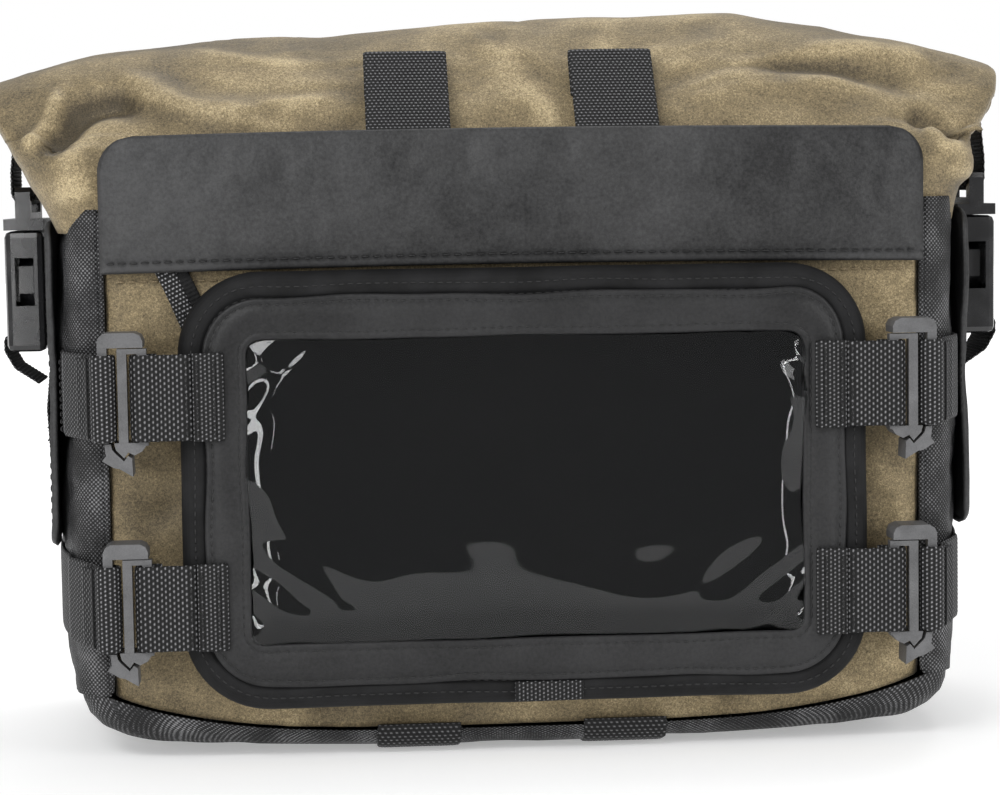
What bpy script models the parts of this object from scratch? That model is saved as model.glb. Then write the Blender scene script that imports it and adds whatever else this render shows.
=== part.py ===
"""A roll-top motorcycle tank bag: a soft-sided body with a zipped front pocket, a rolled canvas
closure held down by a side-release buckle at each end, and a clear-window pouch that hangs on
the front by four hook buckles.

Metres, +Z up. The front faces -Y and the origin is at the middle of the foot of the bag. Heights are
given from a level STRAP_DROP above the undersides of the straps that the bag stands on, and the
whole bag is raised by that much at the end.
"""

import math

import bmesh
import bpy
from mathutils import Matrix, Vector

# Driving dimensions.
GAP = 0.0003
CLOTH = 0.0016
LINER_CLOTH = 0.0010
CANVAS_CLOTH = 0.0012
WALL_CLOTH = 0.0012
FOAM_PAD = 0.0028
WEBBING_WIDTH = 0.025
WEBBING = 0.0012
HARNESS_WEBBING = 0.0016

FRONT_Y = -0.0460
BACK_Y = 0.0646
BODY_HALF_WIDTH = 0.133
PANEL_HALF_WIDTH = 0.122
BODY_CORNER = 0.011
FOOT_HALF_WIDTH = BODY_HALF_WIDTH - 0.011
SIDE_TOP_Z = 0.160
STRAP_DROP = 0.0045
FOOT_Z = 0.0021 - STRAP_DROP
RIM_MIDDLE_Z = 0.0024
RIM_CORNER_Z = 0.0157

POCKET_DEPTH = 0.0072
POCKET_TOP_Z = 0.1475
ZIP_HEIGHT = 0.005

ROLL_HALF_LENGTH = 0.157
ROLL_TOP_Z = 0.217
ROLL_TOP_DROOP = 0.015
ROLL_FOOT_Z = 0.193
ROLL_FOOT_DROOP = 0.012
ROLL_Y = 0.007
ROLL_HALF_DEPTH = 0.027

YOKE_X = (-0.1220, 0.1220)
YOKE_Z = (0.141, 0.181)
YOKE_STAND_OFF = 0.0030
YOKE_CORNER = 0.010

TOP_LOOP_X = 0.031

POUCH_X = 0.0015
POUCH_Z = 0.0772
POUCH_SIZE = (0.2020, 0.1284)
POUCH_CLOTH = 0.0014
POUCH_BACK_Y = FRONT_Y - 0.0032
POUCH_FLOOR_Y = POUCH_BACK_Y - POUCH_CLOTH
POUCH_DEPTH = 0.0105
POUCH_CORNER = 0.019
POUCH_BAND = 0.0094
WINDOW_SIZE = (0.167, 0.091)
FRAME_MARGIN = 0.0072

HOOK_BAR_X = 0.12085
HOOK_LINK_X = 0.10955
HOOK_OUTER_X = 0.1222
HOOK_Y = FRONT_Y - 0.0167
HOOK_FACE_Y = FRONT_Y - 0.0185
HOOK_DEPTH = 0.0100
HOOK_BAR_DEPTH = 0.0034
HOOK_TOPS = {"upper": 0.1247, "lower": 0.0635}
HOOK_WEBBING_DROP = 0.0189

BUCKLE_X = 0.1480
BUCKLE_Y = 0.007
BUCKLE_THICKNESS = 0.012
BUCKLE_WIDTH = 0.035
BUCKLE_FOOT_Z = 0.1165
FEMALE_LENGTH = 0.037
WING_THICKNESS = 0.0013

SLIDER_X = -0.1045
PULLER_LEAN = 25

MM = 0.001


def clear_scene():
    for obj in list(bpy.data.objects):
        bpy.data.objects.remove(obj)


def new_collection(name):
    collection = bpy.data.collections.new(name)
    bpy.context.scene.collection.children.link(collection)
    return collection


clear_scene()
BAG = new_collection("tank_bag")
CUTTERS = new_collection("cutters")


def make_material(name, colour, roughness, metallic=0.0):
    material = bpy.data.materials.new(name)
    material.use_nodes = True
    shader = material.node_tree.nodes["Principled BSDF"]
    shader.inputs["Base Color"].default_value = (*colour, 1.0)
    shader.inputs["Roughness"].default_value = roughness
    shader.inputs["Metallic"].default_value = metallic
    return material


CANVAS = make_material("waxed_canvas", (0.300, 0.220, 0.118), 0.75)
LEATHER = make_material("faux_leather", (0.045, 0.045, 0.048), 0.55)
CORDURA = make_material("black_nylon", (0.018, 0.018, 0.020), 0.85)
WEB = make_material("webbing", (0.032, 0.032, 0.034), 0.80)
PLASTIC = make_material("hook_plastic", (0.060, 0.060, 0.063), 0.45)
GLOSSY = make_material("buckle_plastic", (0.010, 0.010, 0.011), 0.30)
VINYL = make_material("clear_vinyl", (0.80, 0.82, 0.84), 0.08)
LINING = make_material("lining", (0.050, 0.050, 0.055), 0.70)
FOAM = make_material("foam", (0.090, 0.090, 0.095), 0.95)
ZIP = make_material("zip", (0.012, 0.012, 0.013), 0.50)


def add(obj, material):
    BAG.objects.link(obj)
    obj.data.materials.clear()
    obj.data.materials.append(material)
    return obj


# Outlines.


def arc(centre, radius, start, end, steps):
    """Points on an arc about a centre, with angles in degrees."""
    angles = [math.radians(start + (end - start) * i / steps) for i in range(steps + 1)]
    return [(centre[0] + radius * math.cos(a), centre[1] + radius * math.sin(a)) for a in angles]


def rounded_rectangle(centre, size, radius, steps=5):
    half_u = size[0] / 2 - radius
    half_v = size[1] / 2 - radius
    points = []
    for turn, (su, sv) in enumerate(((1, 1), (-1, 1), (-1, -1), (1, -1))):
        corner = (centre[0] + su * half_u, centre[1] + sv * half_v)
        points += arc(corner, radius, 90 * turn, 90 * turn + 90, steps)
    return points


def offset_path(path, distance):
    """The open path moved sideways, to its left as it is walked."""
    moved = []
    for i, (u, v) in enumerate(path):
        before = path[max(i - 1, 0)]
        after = path[min(i + 1, len(path) - 1)]
        normals = []
        for start, end in ((before, (u, v)), ((u, v), after)):
            du, dv = end[0] - start[0], end[1] - start[1]
            length = math.hypot(du, dv)
            if length > 0:
                normals.append((-dv / length, du / length))
        nu = sum(n[0] for n in normals) / len(normals)
        nv = sum(n[1] for n in normals) / len(normals)
        scale = distance / (nu * nu + nv * nv)
        moved.append((u + nu * scale, v + nv * scale))
    return moved


def strip(path, left, right):
    """A closed outline between two offsets of a path."""
    return offset_path(path, left) + offset_path(path, right)[::-1]


def webbing_strip(path, thickness=WEBBING):
    """The edge-on outline of a strap that follows a path."""
    return strip(path, thickness / 2, -thickness / 2)


def mirrored(points, side):
    return [(side * u, v) for u, v in points]


# Solids.

TURNS = {
    "X": Matrix(((0, 0, 1), (1, 0, 0), (0, 1, 0))).to_4x4(),
    "Y": Matrix(((1, 0, 0), (0, 0, -1), (0, 1, 0))).to_4x4(),
    "Z": Matrix.Identity(4),
}


def prism(name, outline, across, low, high, material, holes=()):
    """A flat outline made thick along one axis. The outline runs in YZ, XZ or XY."""
    curve = bpy.data.curves.new(name, "CURVE")
    curve.dimensions = "2D"
    curve.fill_mode = "BOTH"
    curve.extrude = (high - low) / 2
    for points in (outline, *holes):
        spline = curve.splines.new("POLY")
        spline.points.add(len(points) - 1)
        for point, (u, v) in zip(spline.points, points):
            point.co = (u, v, 0, 1)
        spline.use_cyclic_u = True
    obj = bpy.data.objects.new(name, curve)
    middle = (low + high) / 2
    place = Matrix.Translation([middle * (axis == across) for axis in "XYZ"])
    obj.matrix_world = place @ TURNS[across]
    return add(obj, material)


def as_mesh(obj):
    """The same solid as a welded mesh, which can be cut and joined."""
    bpy.context.view_layer.update()
    graph = bpy.context.evaluated_depsgraph_get()
    mesh = bpy.data.meshes.new_from_object(obj.evaluated_get(graph))
    work = bmesh.new()
    work.from_mesh(mesh)
    bmesh.ops.remove_doubles(work, verts=work.verts, dist=1e-6)
    bmesh.ops.recalc_face_normals(work, faces=work.faces)
    work.to_mesh(mesh)
    work.free()
    name, matrix, material = obj.name, obj.matrix_world.copy(), obj.data.materials[0]
    bpy.data.objects.remove(obj)
    solid = bpy.data.objects.new(name, mesh)
    solid.matrix_world = matrix
    solid.name = name
    return add(solid, material)


def block(name, low, high, material, bevel=0.0):
    """A box between two corners, with its edges rounded."""
    mesh = bpy.data.meshes.new(name)
    work = bmesh.new()
    bmesh.ops.create_cube(work, size=1.0)
    size = [b - a for a, b in zip(low, high)]
    bmesh.ops.scale(work, vec=size, verts=work.verts)
    work.to_mesh(mesh)
    work.free()
    obj = bpy.data.objects.new(name, mesh)
    obj.location = [(a + b) / 2 for a, b in zip(low, high)]
    if bevel:
        edges = obj.modifiers.new("rounded_edges", "BEVEL")
        edges.width = bevel
        edges.segments = 2
    return add(obj, material)


def as_cutter(obj):
    """Moves an object to the helpers, which are left out of the model."""
    BAG.objects.unlink(obj)
    CUTTERS.objects.link(obj)
    obj.hide_render = True
    obj.display_type = "WIRE"
    return obj


def combine(obj, other, operation):
    boolean = obj.modifiers.new(operation.lower(), "BOOLEAN")
    boolean.operation = operation
    boolean.object = as_cutter(other)
    return obj


def cut(obj, cutter):
    return combine(obj, cutter, "DIFFERENCE")


def join(obj, other):
    return combine(obj, other, "UNION")


def ring(half_x, front, back, corner, height, steps=3, along=12):
    """A level loop round the bag, whose height may change from point to point."""
    points = []
    for i in range(along):
        points.append((-half_x + corner + 2 * (half_x - corner) * i / along, front))
    points += arc((half_x - corner, front + corner), corner, -90, 0, steps)
    points += arc((half_x - corner, back - corner), corner, 0, 90, steps)
    for i in range(1, along):
        points.append((half_x - corner - 2 * (half_x - corner) * i / along, back))
    points += arc((-half_x + corner, back - corner), corner, 90, 180, steps)
    points += arc((-half_x + corner, front + corner), corner, 180, 270, steps)[:-1]
    return [(x, y, height(x, y)) for x, y in points]


def loft(name, rings, material, thickness, closed_foot=False):
    """A skin through loops of equal length, thickened inwards."""
    mesh = bpy.data.meshes.new(name)
    work = bmesh.new()
    loops = [[work.verts.new(point) for point in points] for points in rings]
    count = len(loops[0])
    for lower, upper in zip(loops, loops[1:]):
        for i in range(count):
            j = (i + 1) % count
            work.faces.new((lower[i], lower[j], upper[j], upper[i]))
    if closed_foot:
        work.faces.new(loops[0][::-1])
    work.to_mesh(mesh)
    work.free()
    obj = bpy.data.objects.new(name, mesh)
    skin = obj.modifiers.new("thickness", "SOLIDIFY")
    skin.thickness = thickness
    skin.offset = -1.0
    return add(obj, material)


def pivot(name, location, parent=None):
    """An empty on a joint's axis, which carries the pieces that move about it."""
    empty = bpy.data.objects.new(name, None)
    empty.location = location
    empty.empty_display_size = 0.01
    BAG.objects.link(empty)
    bpy.context.view_layer.update()
    if parent:
        carry(parent, empty)
    return empty


def carry(parent, *children):
    bpy.context.view_layer.update()
    for child in children:
        child.parent = parent
        child.matrix_parent_inverse = parent.matrix_world.inverted()


# The body.


def rim_z(x, y=0.0):
    """The height of the seam between the foot and the walls."""
    share = min(1.0, abs(x) / (BODY_HALF_WIDTH - 0.008))
    return RIM_MIDDLE_Z + (RIM_CORNER_Z - RIM_MIDDLE_Z) * share**4


def wall_outline(half_width, top_z, lift=0.0014):
    """An upright panel whose foot follows the seam of the bag's foot."""
    steps = 12
    foot = [half_width * (2 * i / steps - 1) for i in range(steps + 1)]
    points = [(x, rim_z(x) + lift) for x in foot]
    return points + [(half_width, top_z), (-half_width, top_z)]


def make_foot():
    rings = [
        ring(BODY_HALF_WIDTH - 0.028, FRONT_Y + 0.010, BACK_Y - 0.010, 0.008, lambda x, y: foot_z(x)),
        ring(FOOT_HALF_WIDTH, FRONT_Y + 0.002, BACK_Y - 0.002, 0.014, lambda x, y: foot_z(x) + 0.0022),
        ring(BODY_HALF_WIDTH - 0.0025, FRONT_Y, BACK_Y, BODY_CORNER, rim_z),
    ]
    loft("bottom_panel", rings, CORDURA, CLOTH, closed_foot=True)
    block(
        "bottom_board",
        (-0.096, FRONT_Y + 0.014, FOOT_Z + 0.0065),
        (0.096, BACK_Y - 0.014, FOOT_Z + 0.0085),
        FOAM,
        0.0006,
    )


def foot_z(x):
    return FOOT_Z + 0.0040 * min(1.0, abs(x) / FOOT_HALF_WIDTH) ** 2


def make_walls():
    inner_y = FRONT_Y + CLOTH
    prism(
        "front_canvas_panel",
        wall_outline(PANEL_HALF_WIDTH, POCKET_TOP_Z),
        "Y",
        FRONT_Y,
        inner_y,
        CANVAS,
    )
    wall_y = inner_y + POCKET_DEPTH
    prism(
        "front_wall",
        wall_outline(PANEL_HALF_WIDTH - 0.001, SIDE_TOP_Z - 0.002, 0.004),
        "Y",
        wall_y,
        wall_y + WALL_CLOTH,
        LINING,
    )
    prism(
        "back_panel",
        wall_outline(PANEL_HALF_WIDTH, SIDE_TOP_Z),
        "Y",
        BACK_Y - CLOTH,
        BACK_Y,
        CORDURA,
    )
    block(
        "back_foam",
        (0.008 - PANEL_HALF_WIDTH, BACK_Y - CLOTH - GAP - FOAM_PAD, 0.020),
        (PANEL_HALF_WIDTH - 0.008, BACK_Y - CLOTH - GAP, 0.156),
        FOAM,
        0.0006,
    )
    front_corner = (BODY_HALF_WIDTH - BODY_CORNER, FRONT_Y + BODY_CORNER)
    back_corner = (BODY_HALF_WIDTH - BODY_CORNER, BACK_Y - BODY_CORNER)
    path = arc(front_corner, BODY_CORNER, -86, 0, 5) + arc(back_corner, BODY_CORNER, 0, 86, 5)
    for name, side in (("left", -1), ("right", 1)):
        prism(
            f"{name}_gusset",
            mirrored(strip(path, 0.0, CLOTH), side),
            "Z",
            RIM_CORNER_Z + 0.0012,
            SIDE_TOP_Z,
            CORDURA,
        )
        outer = BODY_HALF_WIDTH + GAP
        wing_x = sorted((side * outer, side * (outer + WING_THICKNESS)))
        block(
            f"{name}_side_wing",
            (wing_x[0], -0.030, 0.060),
            (wing_x[1], 0.050, 0.157),
            LEATHER,
            0.0004,
        )


def make_liner():
    front = FRONT_Y + CLOTH + POCKET_DEPTH + WALL_CLOTH + GAP
    back = BACK_Y - CLOTH - FOAM_PAD - 2 * GAP

    def level(z):
        return lambda x, y: z

    rings = [
        ring(BODY_HALF_WIDTH - 0.020, front + 0.004, back - 0.004, 0.008, level(0.0120 - STRAP_DROP)),
        ring(BODY_HALF_WIDTH - 0.008, front, back, 0.010, level(0.0220 - STRAP_DROP)),
        ring(BODY_HALF_WIDTH - 0.0055, front, back, 0.010, level(0.060)),
        ring(BODY_HALF_WIDTH - 0.0055, front, back, 0.010, level(0.172)),
    ]
    loft("main_liner", rings, LINING, LINER_CLOTH, closed_foot=True)


def roll_top_z(x):
    return ROLL_TOP_Z - ROLL_TOP_DROOP * (x / ROLL_HALF_LENGTH) ** 2


def roll_foot_z(x):
    return ROLL_FOOT_Z - ROLL_FOOT_DROOP * (x / ROLL_HALF_LENGTH) ** 2


def make_collar():
    """The canvas neck between the walls and the rolled top."""
    zip_top = POCKET_TOP_Z + ZIP_HEIGHT

    def foot(x, y):
        over_zip = y < FRONT_Y + 0.001 and abs(x) < PANEL_HALF_WIDTH - 0.001
        return zip_top if over_zip else SIDE_TOP_Z + 0.0010

    def level(z, droop):
        return lambda x, y: z - droop * (x / ROLL_HALF_LENGTH) ** 2

    def mouth(x, y):
        return roll_foot_z(x) - 0.0030

    rings = [
        ring(BODY_HALF_WIDTH, FRONT_Y, BACK_Y, 0.009, foot),
        ring(BODY_HALF_WIDTH + 0.002, FRONT_Y, BACK_Y, 0.010, level(0.172, 0.004)),
        ring(BODY_HALF_WIDTH + 0.006, FRONT_Y + 0.001, BACK_Y - 0.001, 0.012, level(0.1805, 0.006)),
        ring(BODY_HALF_WIDTH + 0.008, ROLL_Y - 0.018, ROLL_Y + 0.018, 0.010, mouth),
    ]
    loft("canvas_collar", rings, CANVAS, CANVAS_CLOTH)


def make_yoke():
    middle = (sum(YOKE_X) / 2, sum(YOKE_Z) / 2)
    size = (YOKE_X[1] - YOKE_X[0], YOKE_Z[1] - YOKE_Z[0])
    back = FRONT_Y - YOKE_STAND_OFF
    prism(
        "yoke_panel",
        rounded_rectangle(middle, size, YOKE_CORNER, 4),
        "Y",
        back - CLOTH,
        back,
        LEATHER,
    )
    block(
        "yoke_foam",
        (YOKE_X[0] + 0.004, back + GAP, 0.1565),
        (YOKE_X[1] - 0.004, FRONT_Y - GAP, 0.1740),
        FOAM,
        0.0004,
    )


def make_zip():
    inner = FRONT_Y + CLOTH + GAP
    block("zip_tape", (-0.112, inner, 0.1445), (0.112, inner + 0.0008, 0.1555), ZIP)
    slider = block(
        "zip_slider",
        (SLIDER_X - 0.0055, FRONT_Y - 0.0022, POCKET_TOP_Z + 0.0005),
        (SLIDER_X + 0.0055, FRONT_Y + 0.0014, POCKET_TOP_Z + ZIP_HEIGHT - 0.0005),
        ZIP,
        0.0005,
    )
    hang_z = POCKET_TOP_Z
    shape = [(-1.0, -0.5), (1.0, -0.5), (2.6, -3.4), (4.2, -8), (4.6, -21), (2.5, -24)]
    shape += [(-2.5, -24), (-4.6, -21), (-4.2, -8), (-2.6, -3.4)]
    slot = rounded_rectangle((0, -12.5), (3.6, 13), 1.6, 3)
    lean = Matrix.Rotation(math.radians(PULLER_LEAN), 2)
    hang = Vector((SLIDER_X, hang_z))
    outline = [tuple(hang + lean @ Vector(point) * MM) for point in shape]
    hole = [tuple(hang + lean @ Vector(point) * MM) for point in slot]
    puller = prism(
        "zip_puller", outline, "Y", FRONT_Y - 0.0025, FRONT_Y - 0.0006, WEB, holes=[hole]
    )
    slide = pivot("zip_slide", (SLIDER_X, FRONT_Y, POCKET_TOP_Z))
    swing = pivot("zip_puller_swing", (SLIDER_X, FRONT_Y, hang_z), slide)
    carry(slide, slider)
    carry(swing, puller)


def make_loops_and_back_straps():
    along = (0.571, 0.821)
    start = (FRONT_Y - 0.0014, 0.1746)
    top = (start[0] + 0.031 * along[0] + 0.0035, start[1] + 0.031 * along[1] + 0.0046)
    turn = 0.0013
    fold_centre = (top[0] + turn * along[1], top[1] - turn * along[0])
    fold = arc(fold_centre, turn, 145, -35, 5)
    lower = (fold[-1][0] - 0.014 * along[0], fold[-1][1] - 0.014 * along[1])
    loop_path = [start, (start[0] + 0.0012, 0.1815), *fold, lower]
    back = BACK_Y + 0.0011
    front = FRONT_Y - 0.0011
    under = HARNESS_WEBBING / 2 - STRAP_DROP
    strap_path = [
        (back, 0.152),
        (back, under + 0.0058),
        (back - 0.0020, under + 0.0025),
        (back - 0.0109, under),
        (front + 0.0109, under),
        (front + 0.0020, under + 0.0025),
        (front, under + 0.0058),
        (front, under + 0.0078),
    ]
    half = WEBBING_WIDTH / 2
    for name, side in (("left", -1), ("right", 1)):
        low = side * TOP_LOOP_X - half
        high = side * TOP_LOOP_X + half
        prism(f"{name}_top_loop", webbing_strip(loop_path), "X", low, high, WEB)
        prism(f"{name}_back_strap", webbing_strip(strap_path, HARNESS_WEBBING), "X", low, high, WEB)


# The rolled top and its two side-release buckles.


def roll_section(x, half_y, half_z):
    middle_z = (roll_top_z(x) + roll_foot_z(x)) / 2
    angles = [2 * math.pi * i / 16 for i in range(16)]
    return [(x, ROLL_Y + half_y * math.cos(a), middle_z + half_z * math.sin(a)) for a in angles]


def make_roll(lift):
    stations = [ROLL_HALF_LENGTH * (2 * i / 12 - 1) for i in range(13)]
    outer = []
    inner = []
    for x in stations:
        half_z = (roll_top_z(x) - roll_foot_z(x)) / 2
        outer.append(roll_section(x, ROLL_HALF_DEPTH - 0.005 * abs(x) / ROLL_HALF_LENGTH, half_z))
        inner.append(roll_section(x, 0.0185, 0.0034))
    mesh = bpy.data.meshes.new("rolled_top")
    work = bmesh.new()
    sections = [[work.verts.new(point) for point in points] for points in outer + inner[::-1]]
    for first, second in zip(sections, sections[1:] + sections[:1]):
        for i in range(16):
            j = (i + 1) % 16
            work.faces.new((first[i], first[j], second[j], second[i]))
    bmesh.ops.recalc_face_normals(work, faces=work.faces)
    work.to_mesh(mesh)
    work.free()
    roll = add(bpy.data.objects.new("rolled_top", mesh), CANVAS)
    core = [(x * 0.985, (roll_top_z(x) + roll_foot_z(x)) / 2) for x in stations]
    stiffener = prism(
        "roll_stiffener",
        strip(core, 0.0010, -0.0010),
        "Y",
        ROLL_Y - 0.014,
        ROLL_Y + 0.014,
        PLASTIC,
    )
    carry(lift, roll, stiffener)


def buckle_outline(side, points):
    """Points given across and up a buckle, in millimetres from its middle and its foot."""
    return [(BUCKLE_Y + side * u * MM, BUCKLE_FOOT_Z + v * MM) for u, v in points]


def make_side_buckle(name, side, lift):
    x = side * BUCKLE_X
    half = BUCKLE_THICKNESS / 2
    wide = BUCKLE_WIDTH / 2
    mouth_z = BUCKLE_FOOT_Z + FEMALE_LENGTH
    female = block(
        f"{name}_buckle_female",
        (x - half, BUCKLE_Y - wide, BUCKLE_FOOT_Z),
        (x + half, BUCKLE_Y + wide, mouth_z),
        GLOSSY,
        0.0020,
    )
    openings = {
        "socket": ((0.0029, 0.0136), (0.0092, 0.0420)),
        "window": ((0.0029, 0.0200), (0.0141, 0.0289)),
        "slot": ((0.0100, 0.0132), (0.0032, 0.0064)),
    }
    for label, ((reach_x, reach_y), (low, high)) in openings.items():
        cutter = block(
            f"{name}_{label}_cutter",
            (x - reach_x, BUCKLE_Y - reach_y, BUCKLE_FOOT_Z + low),
            (x + reach_x, BUCKLE_Y + reach_y, BUCKLE_FOOT_Z + high),
            GLOSSY,
        )
        cut(female, cutter)
    blade = [(-2.7, 13.6), (-1.6, 12.0), (1.6, 12.0), (2.7, 13.6)]
    frame = [(-17.4, 37.6), (-2.7, 37.6), *blade, (2.7, 37.6), (17.4, 37.6), (17.4, 48.9)]
    frame += [(15.9, 50.4), (-15.9, 50.4), (-17.4, 48.9)]
    slot = [(-13.2, 42.6), (13.2, 42.6), (13.2, 47.6), (-13.2, 47.6)]
    male = prism(
        f"{name}_buckle_male",
        buckle_outline(1, frame),
        "X",
        x - 0.0023,
        x + 0.0023,
        GLOSSY,
        holes=[buckle_outline(1, slot)],
    )
    flange = block(
        f"{name}_flange",
        (x - half, BUCKLE_Y - wide + 0.0002, mouth_z + GAP),
        (x + half, BUCKLE_Y + wide - 0.0002, mouth_z + 0.0037),
        GLOSSY,
    )
    male = join(as_mesh(male), flange)
    carry(lift, male)
    arm = [(6.6, 37.0), (6.6, 12.6), (10.0, 12.6), (13.1, 17.8), (13.1, 26.2), (9.6, 28.6)]
    arm += [(9.6, 37.0)]
    for place, toward in (("front", -1), ("back", 1)):
        prong = prism(
            f"{name}_prong_{place}",
            buckle_outline(toward, arm),
            "X",
            x - 0.0022,
            x + 0.0022,
            GLOSSY,
        )
        root = (x, BUCKLE_Y + toward * 0.0081, mouth_z)
        carry(pivot(f"{name}_prong_{place}_flex", root, lift), prong)

    bend = 0.0036
    male_eye = (BUCKLE_X, BUCKLE_FOOT_Z + 0.0490)
    top_path = [
        (BUCKLE_X + bend - 0.0005, roll_foot_z(BUCKLE_X + bend) - 0.0012),
        *arc(male_eye, bend, 0, -180, 8),
        (BUCKLE_X - bend, BUCKLE_FOOT_Z + 0.0545),
    ]
    through_z = BUCKLE_FOOT_Z + 0.0048
    reach = 0.0071
    sewn_x = BODY_HALF_WIDTH + GAP + WING_THICKNESS + 0.0012
    lower_path = [
        (BUCKLE_X - 0.0045, BUCKLE_FOOT_Z - 0.0078),
        (BUCKLE_X + 0.0040, BUCKLE_FOOT_Z - 0.0040),
        (BUCKLE_X + reach, BUCKLE_FOOT_Z),
        (BUCKLE_X + reach, through_z - 0.0010),
        (BUCKLE_X + reach - 0.0010, through_z),
        (BUCKLE_X - reach + 0.0010, through_z),
        (BUCKLE_X - reach, through_z - 0.0010),
        (BUCKLE_X - reach, BUCKLE_FOOT_Z - 0.0010),
        (sewn_x, 0.098),
        (sewn_x, 0.086),
    ]
    low = BUCKLE_Y - WEBBING_WIDTH / 2
    high = BUCKLE_Y + WEBBING_WIDTH / 2
    top_strap = prism(
        f"{name}_roll_strap",
        mirrored(webbing_strip(top_path), side),
        "Y",
        low,
        high,
        WEB,
    )
    carry(lift, top_strap)
    prism(
        f"{name}_buckle_strap",
        mirrored(webbing_strip(lower_path), side),
        "Y",
        low,
        high,
        WEB,
    )


# The pouch and the four hook buckles that hold it.


def pouch_outline(inset, corner, steps=5):
    size = (POUCH_SIZE[0] - 2 * inset, POUCH_SIZE[1] - 2 * inset)
    return rounded_rectangle((POUCH_X, POUCH_Z), size, corner, steps)


def make_pouch(pull):
    front = POUCH_FLOOR_Y - POUCH_DEPTH
    inset = POUCH_CLOTH
    back = prism(
        "pouch_back",
        pouch_outline(inset, POUCH_CORNER - inset),
        "Y",
        POUCH_FLOOR_Y,
        POUCH_BACK_Y,
        LINING,
    )
    band = prism(
        "pouch_band",
        pouch_outline(0.0, POUCH_CORNER),
        "Y",
        front + GAP,
        POUCH_FLOOR_Y - GAP,
        CORDURA,
        holes=[pouch_outline(POUCH_BAND, 0.011)],
    )
    band = as_mesh(band)
    mouth = block(
        "pouch_mouth_cutter",
        (POUCH_X - 0.086, front + 0.0012, POUCH_Z + 0.030),
        (POUCH_X + 0.086, POUCH_FLOOR_Y - 0.0010, POUCH_Z + 0.080),
        CORDURA,
    )
    cut(band, mouth)
    frame = prism(
        "pouch_frame",
        pouch_outline(FRAME_MARGIN, 0.012),
        "Y",
        front - 0.0015,
        front,
        LEATHER,
        holes=[rounded_rectangle((POUCH_X, POUCH_Z), WINDOW_SIZE, 0.004, 3)],
    )
    pane = (WINDOW_SIZE[0] - 2 * GAP, WINDOW_SIZE[1] - 2 * GAP)
    window = prism(
        "pouch_window",
        rounded_rectangle((POUCH_X, POUCH_Z), pane, 0.0038, 3),
        "Y",
        front - 0.0012,
        front - 0.0002,
        VINYL,
    )
    tab = block(
        "pouch_tab",
        (POUCH_X - 0.0045, front - 0.0009, POUCH_Z - 0.0633),
        (POUCH_X + 0.0155, front, POUCH_Z - 0.0575),
        WEB,
        0.0003,
    )
    carry(pull, back, band, frame, window, tab)


def hook_points(side, top_z, points):
    """Points given inwards and down from a hook buckle's outer top corner, in millimetres."""
    return [(side * (HOOK_OUTER_X - u * MM), top_z - w * MM) for u, w in points]


def make_hook_buckle(name, side, top_z, pull):
    bar_back = HOOK_FACE_Y + HOOK_BAR_DEPTH
    back = HOOK_FACE_Y + HOOK_DEPTH
    cap = [(0, 4.3), (0, 2.4), (0.7, 0.9), (2.2, 0), (10.6, 0), (12.3, 0.8), (13, 2.4), (13, 4.3)]
    bar = [(0, 2.5), (2.7, 2.5), (2.7, 31.7), (0, 31.7)]
    cap_points = hook_points(side, top_z, cap)
    frame = prism(f"hook_frame_{name}", cap_points, "Y", HOOK_FACE_Y, back, PLASTIC)
    post = prism(
        f"hook_post_{name}", hook_points(side, top_z, bar), "Y", HOOK_FACE_Y + 0.0001, bar_back, PLASTIC
    )
    join(as_mesh(frame), as_mesh(post))

    hook = [(1.4, 32.0), (3.2, 32.0), (3.6, 33.6), (4.4, 34.6), (6.9, 37.0), (8.1, 35.4)]
    hook += [(9.2, 36.2), (9.4, 41.5), (5.6, 39.2), (4.0, 38.9), (0.6, 36.8), (1.8, 35.4)]
    latch_points = hook_points(side, top_z, hook)
    latch = prism(f"hook_latch_{name}", latch_points, "Y", HOOK_FACE_Y, back, PLASTIC)
    root = (side * (HOOK_OUTER_X - 0.0023), HOOK_Y, top_z - 0.032)
    carry(pivot(f"hook_latch_{name}_flex", root), latch)

    ladder = [(5.6, 4.6), (14.0, 4.6), (14.0, 32.6), (5.6, 32.6)]
    opening = [(8.3, 6.1), (11.3, 6.1), (11.3, 31.7), (8.3, 31.7)]
    jaw = [(4.2, 31.7), (14.0, 31.7), (12.2, 34.2), (10.0, 35.3), (8.2, 34.4), (7.0, 36.1)]
    jaw += [(4.7, 33.7)]
    link = prism(
        f"hook_link_{name}",
        hook_points(side, top_z, ladder),
        "Y",
        HOOK_FACE_Y + 0.0001,
        bar_back,
        PLASTIC,
        holes=[hook_points(side, top_z, opening)],
    )
    jaw_points = hook_points(side, top_z, jaw)
    tooth = prism(f"hook_jaw_{name}", jaw_points, "Y", HOOK_FACE_Y, back, PLASTIC)
    link = join(as_mesh(link), as_mesh(tooth))
    carry(pull, link)


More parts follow.
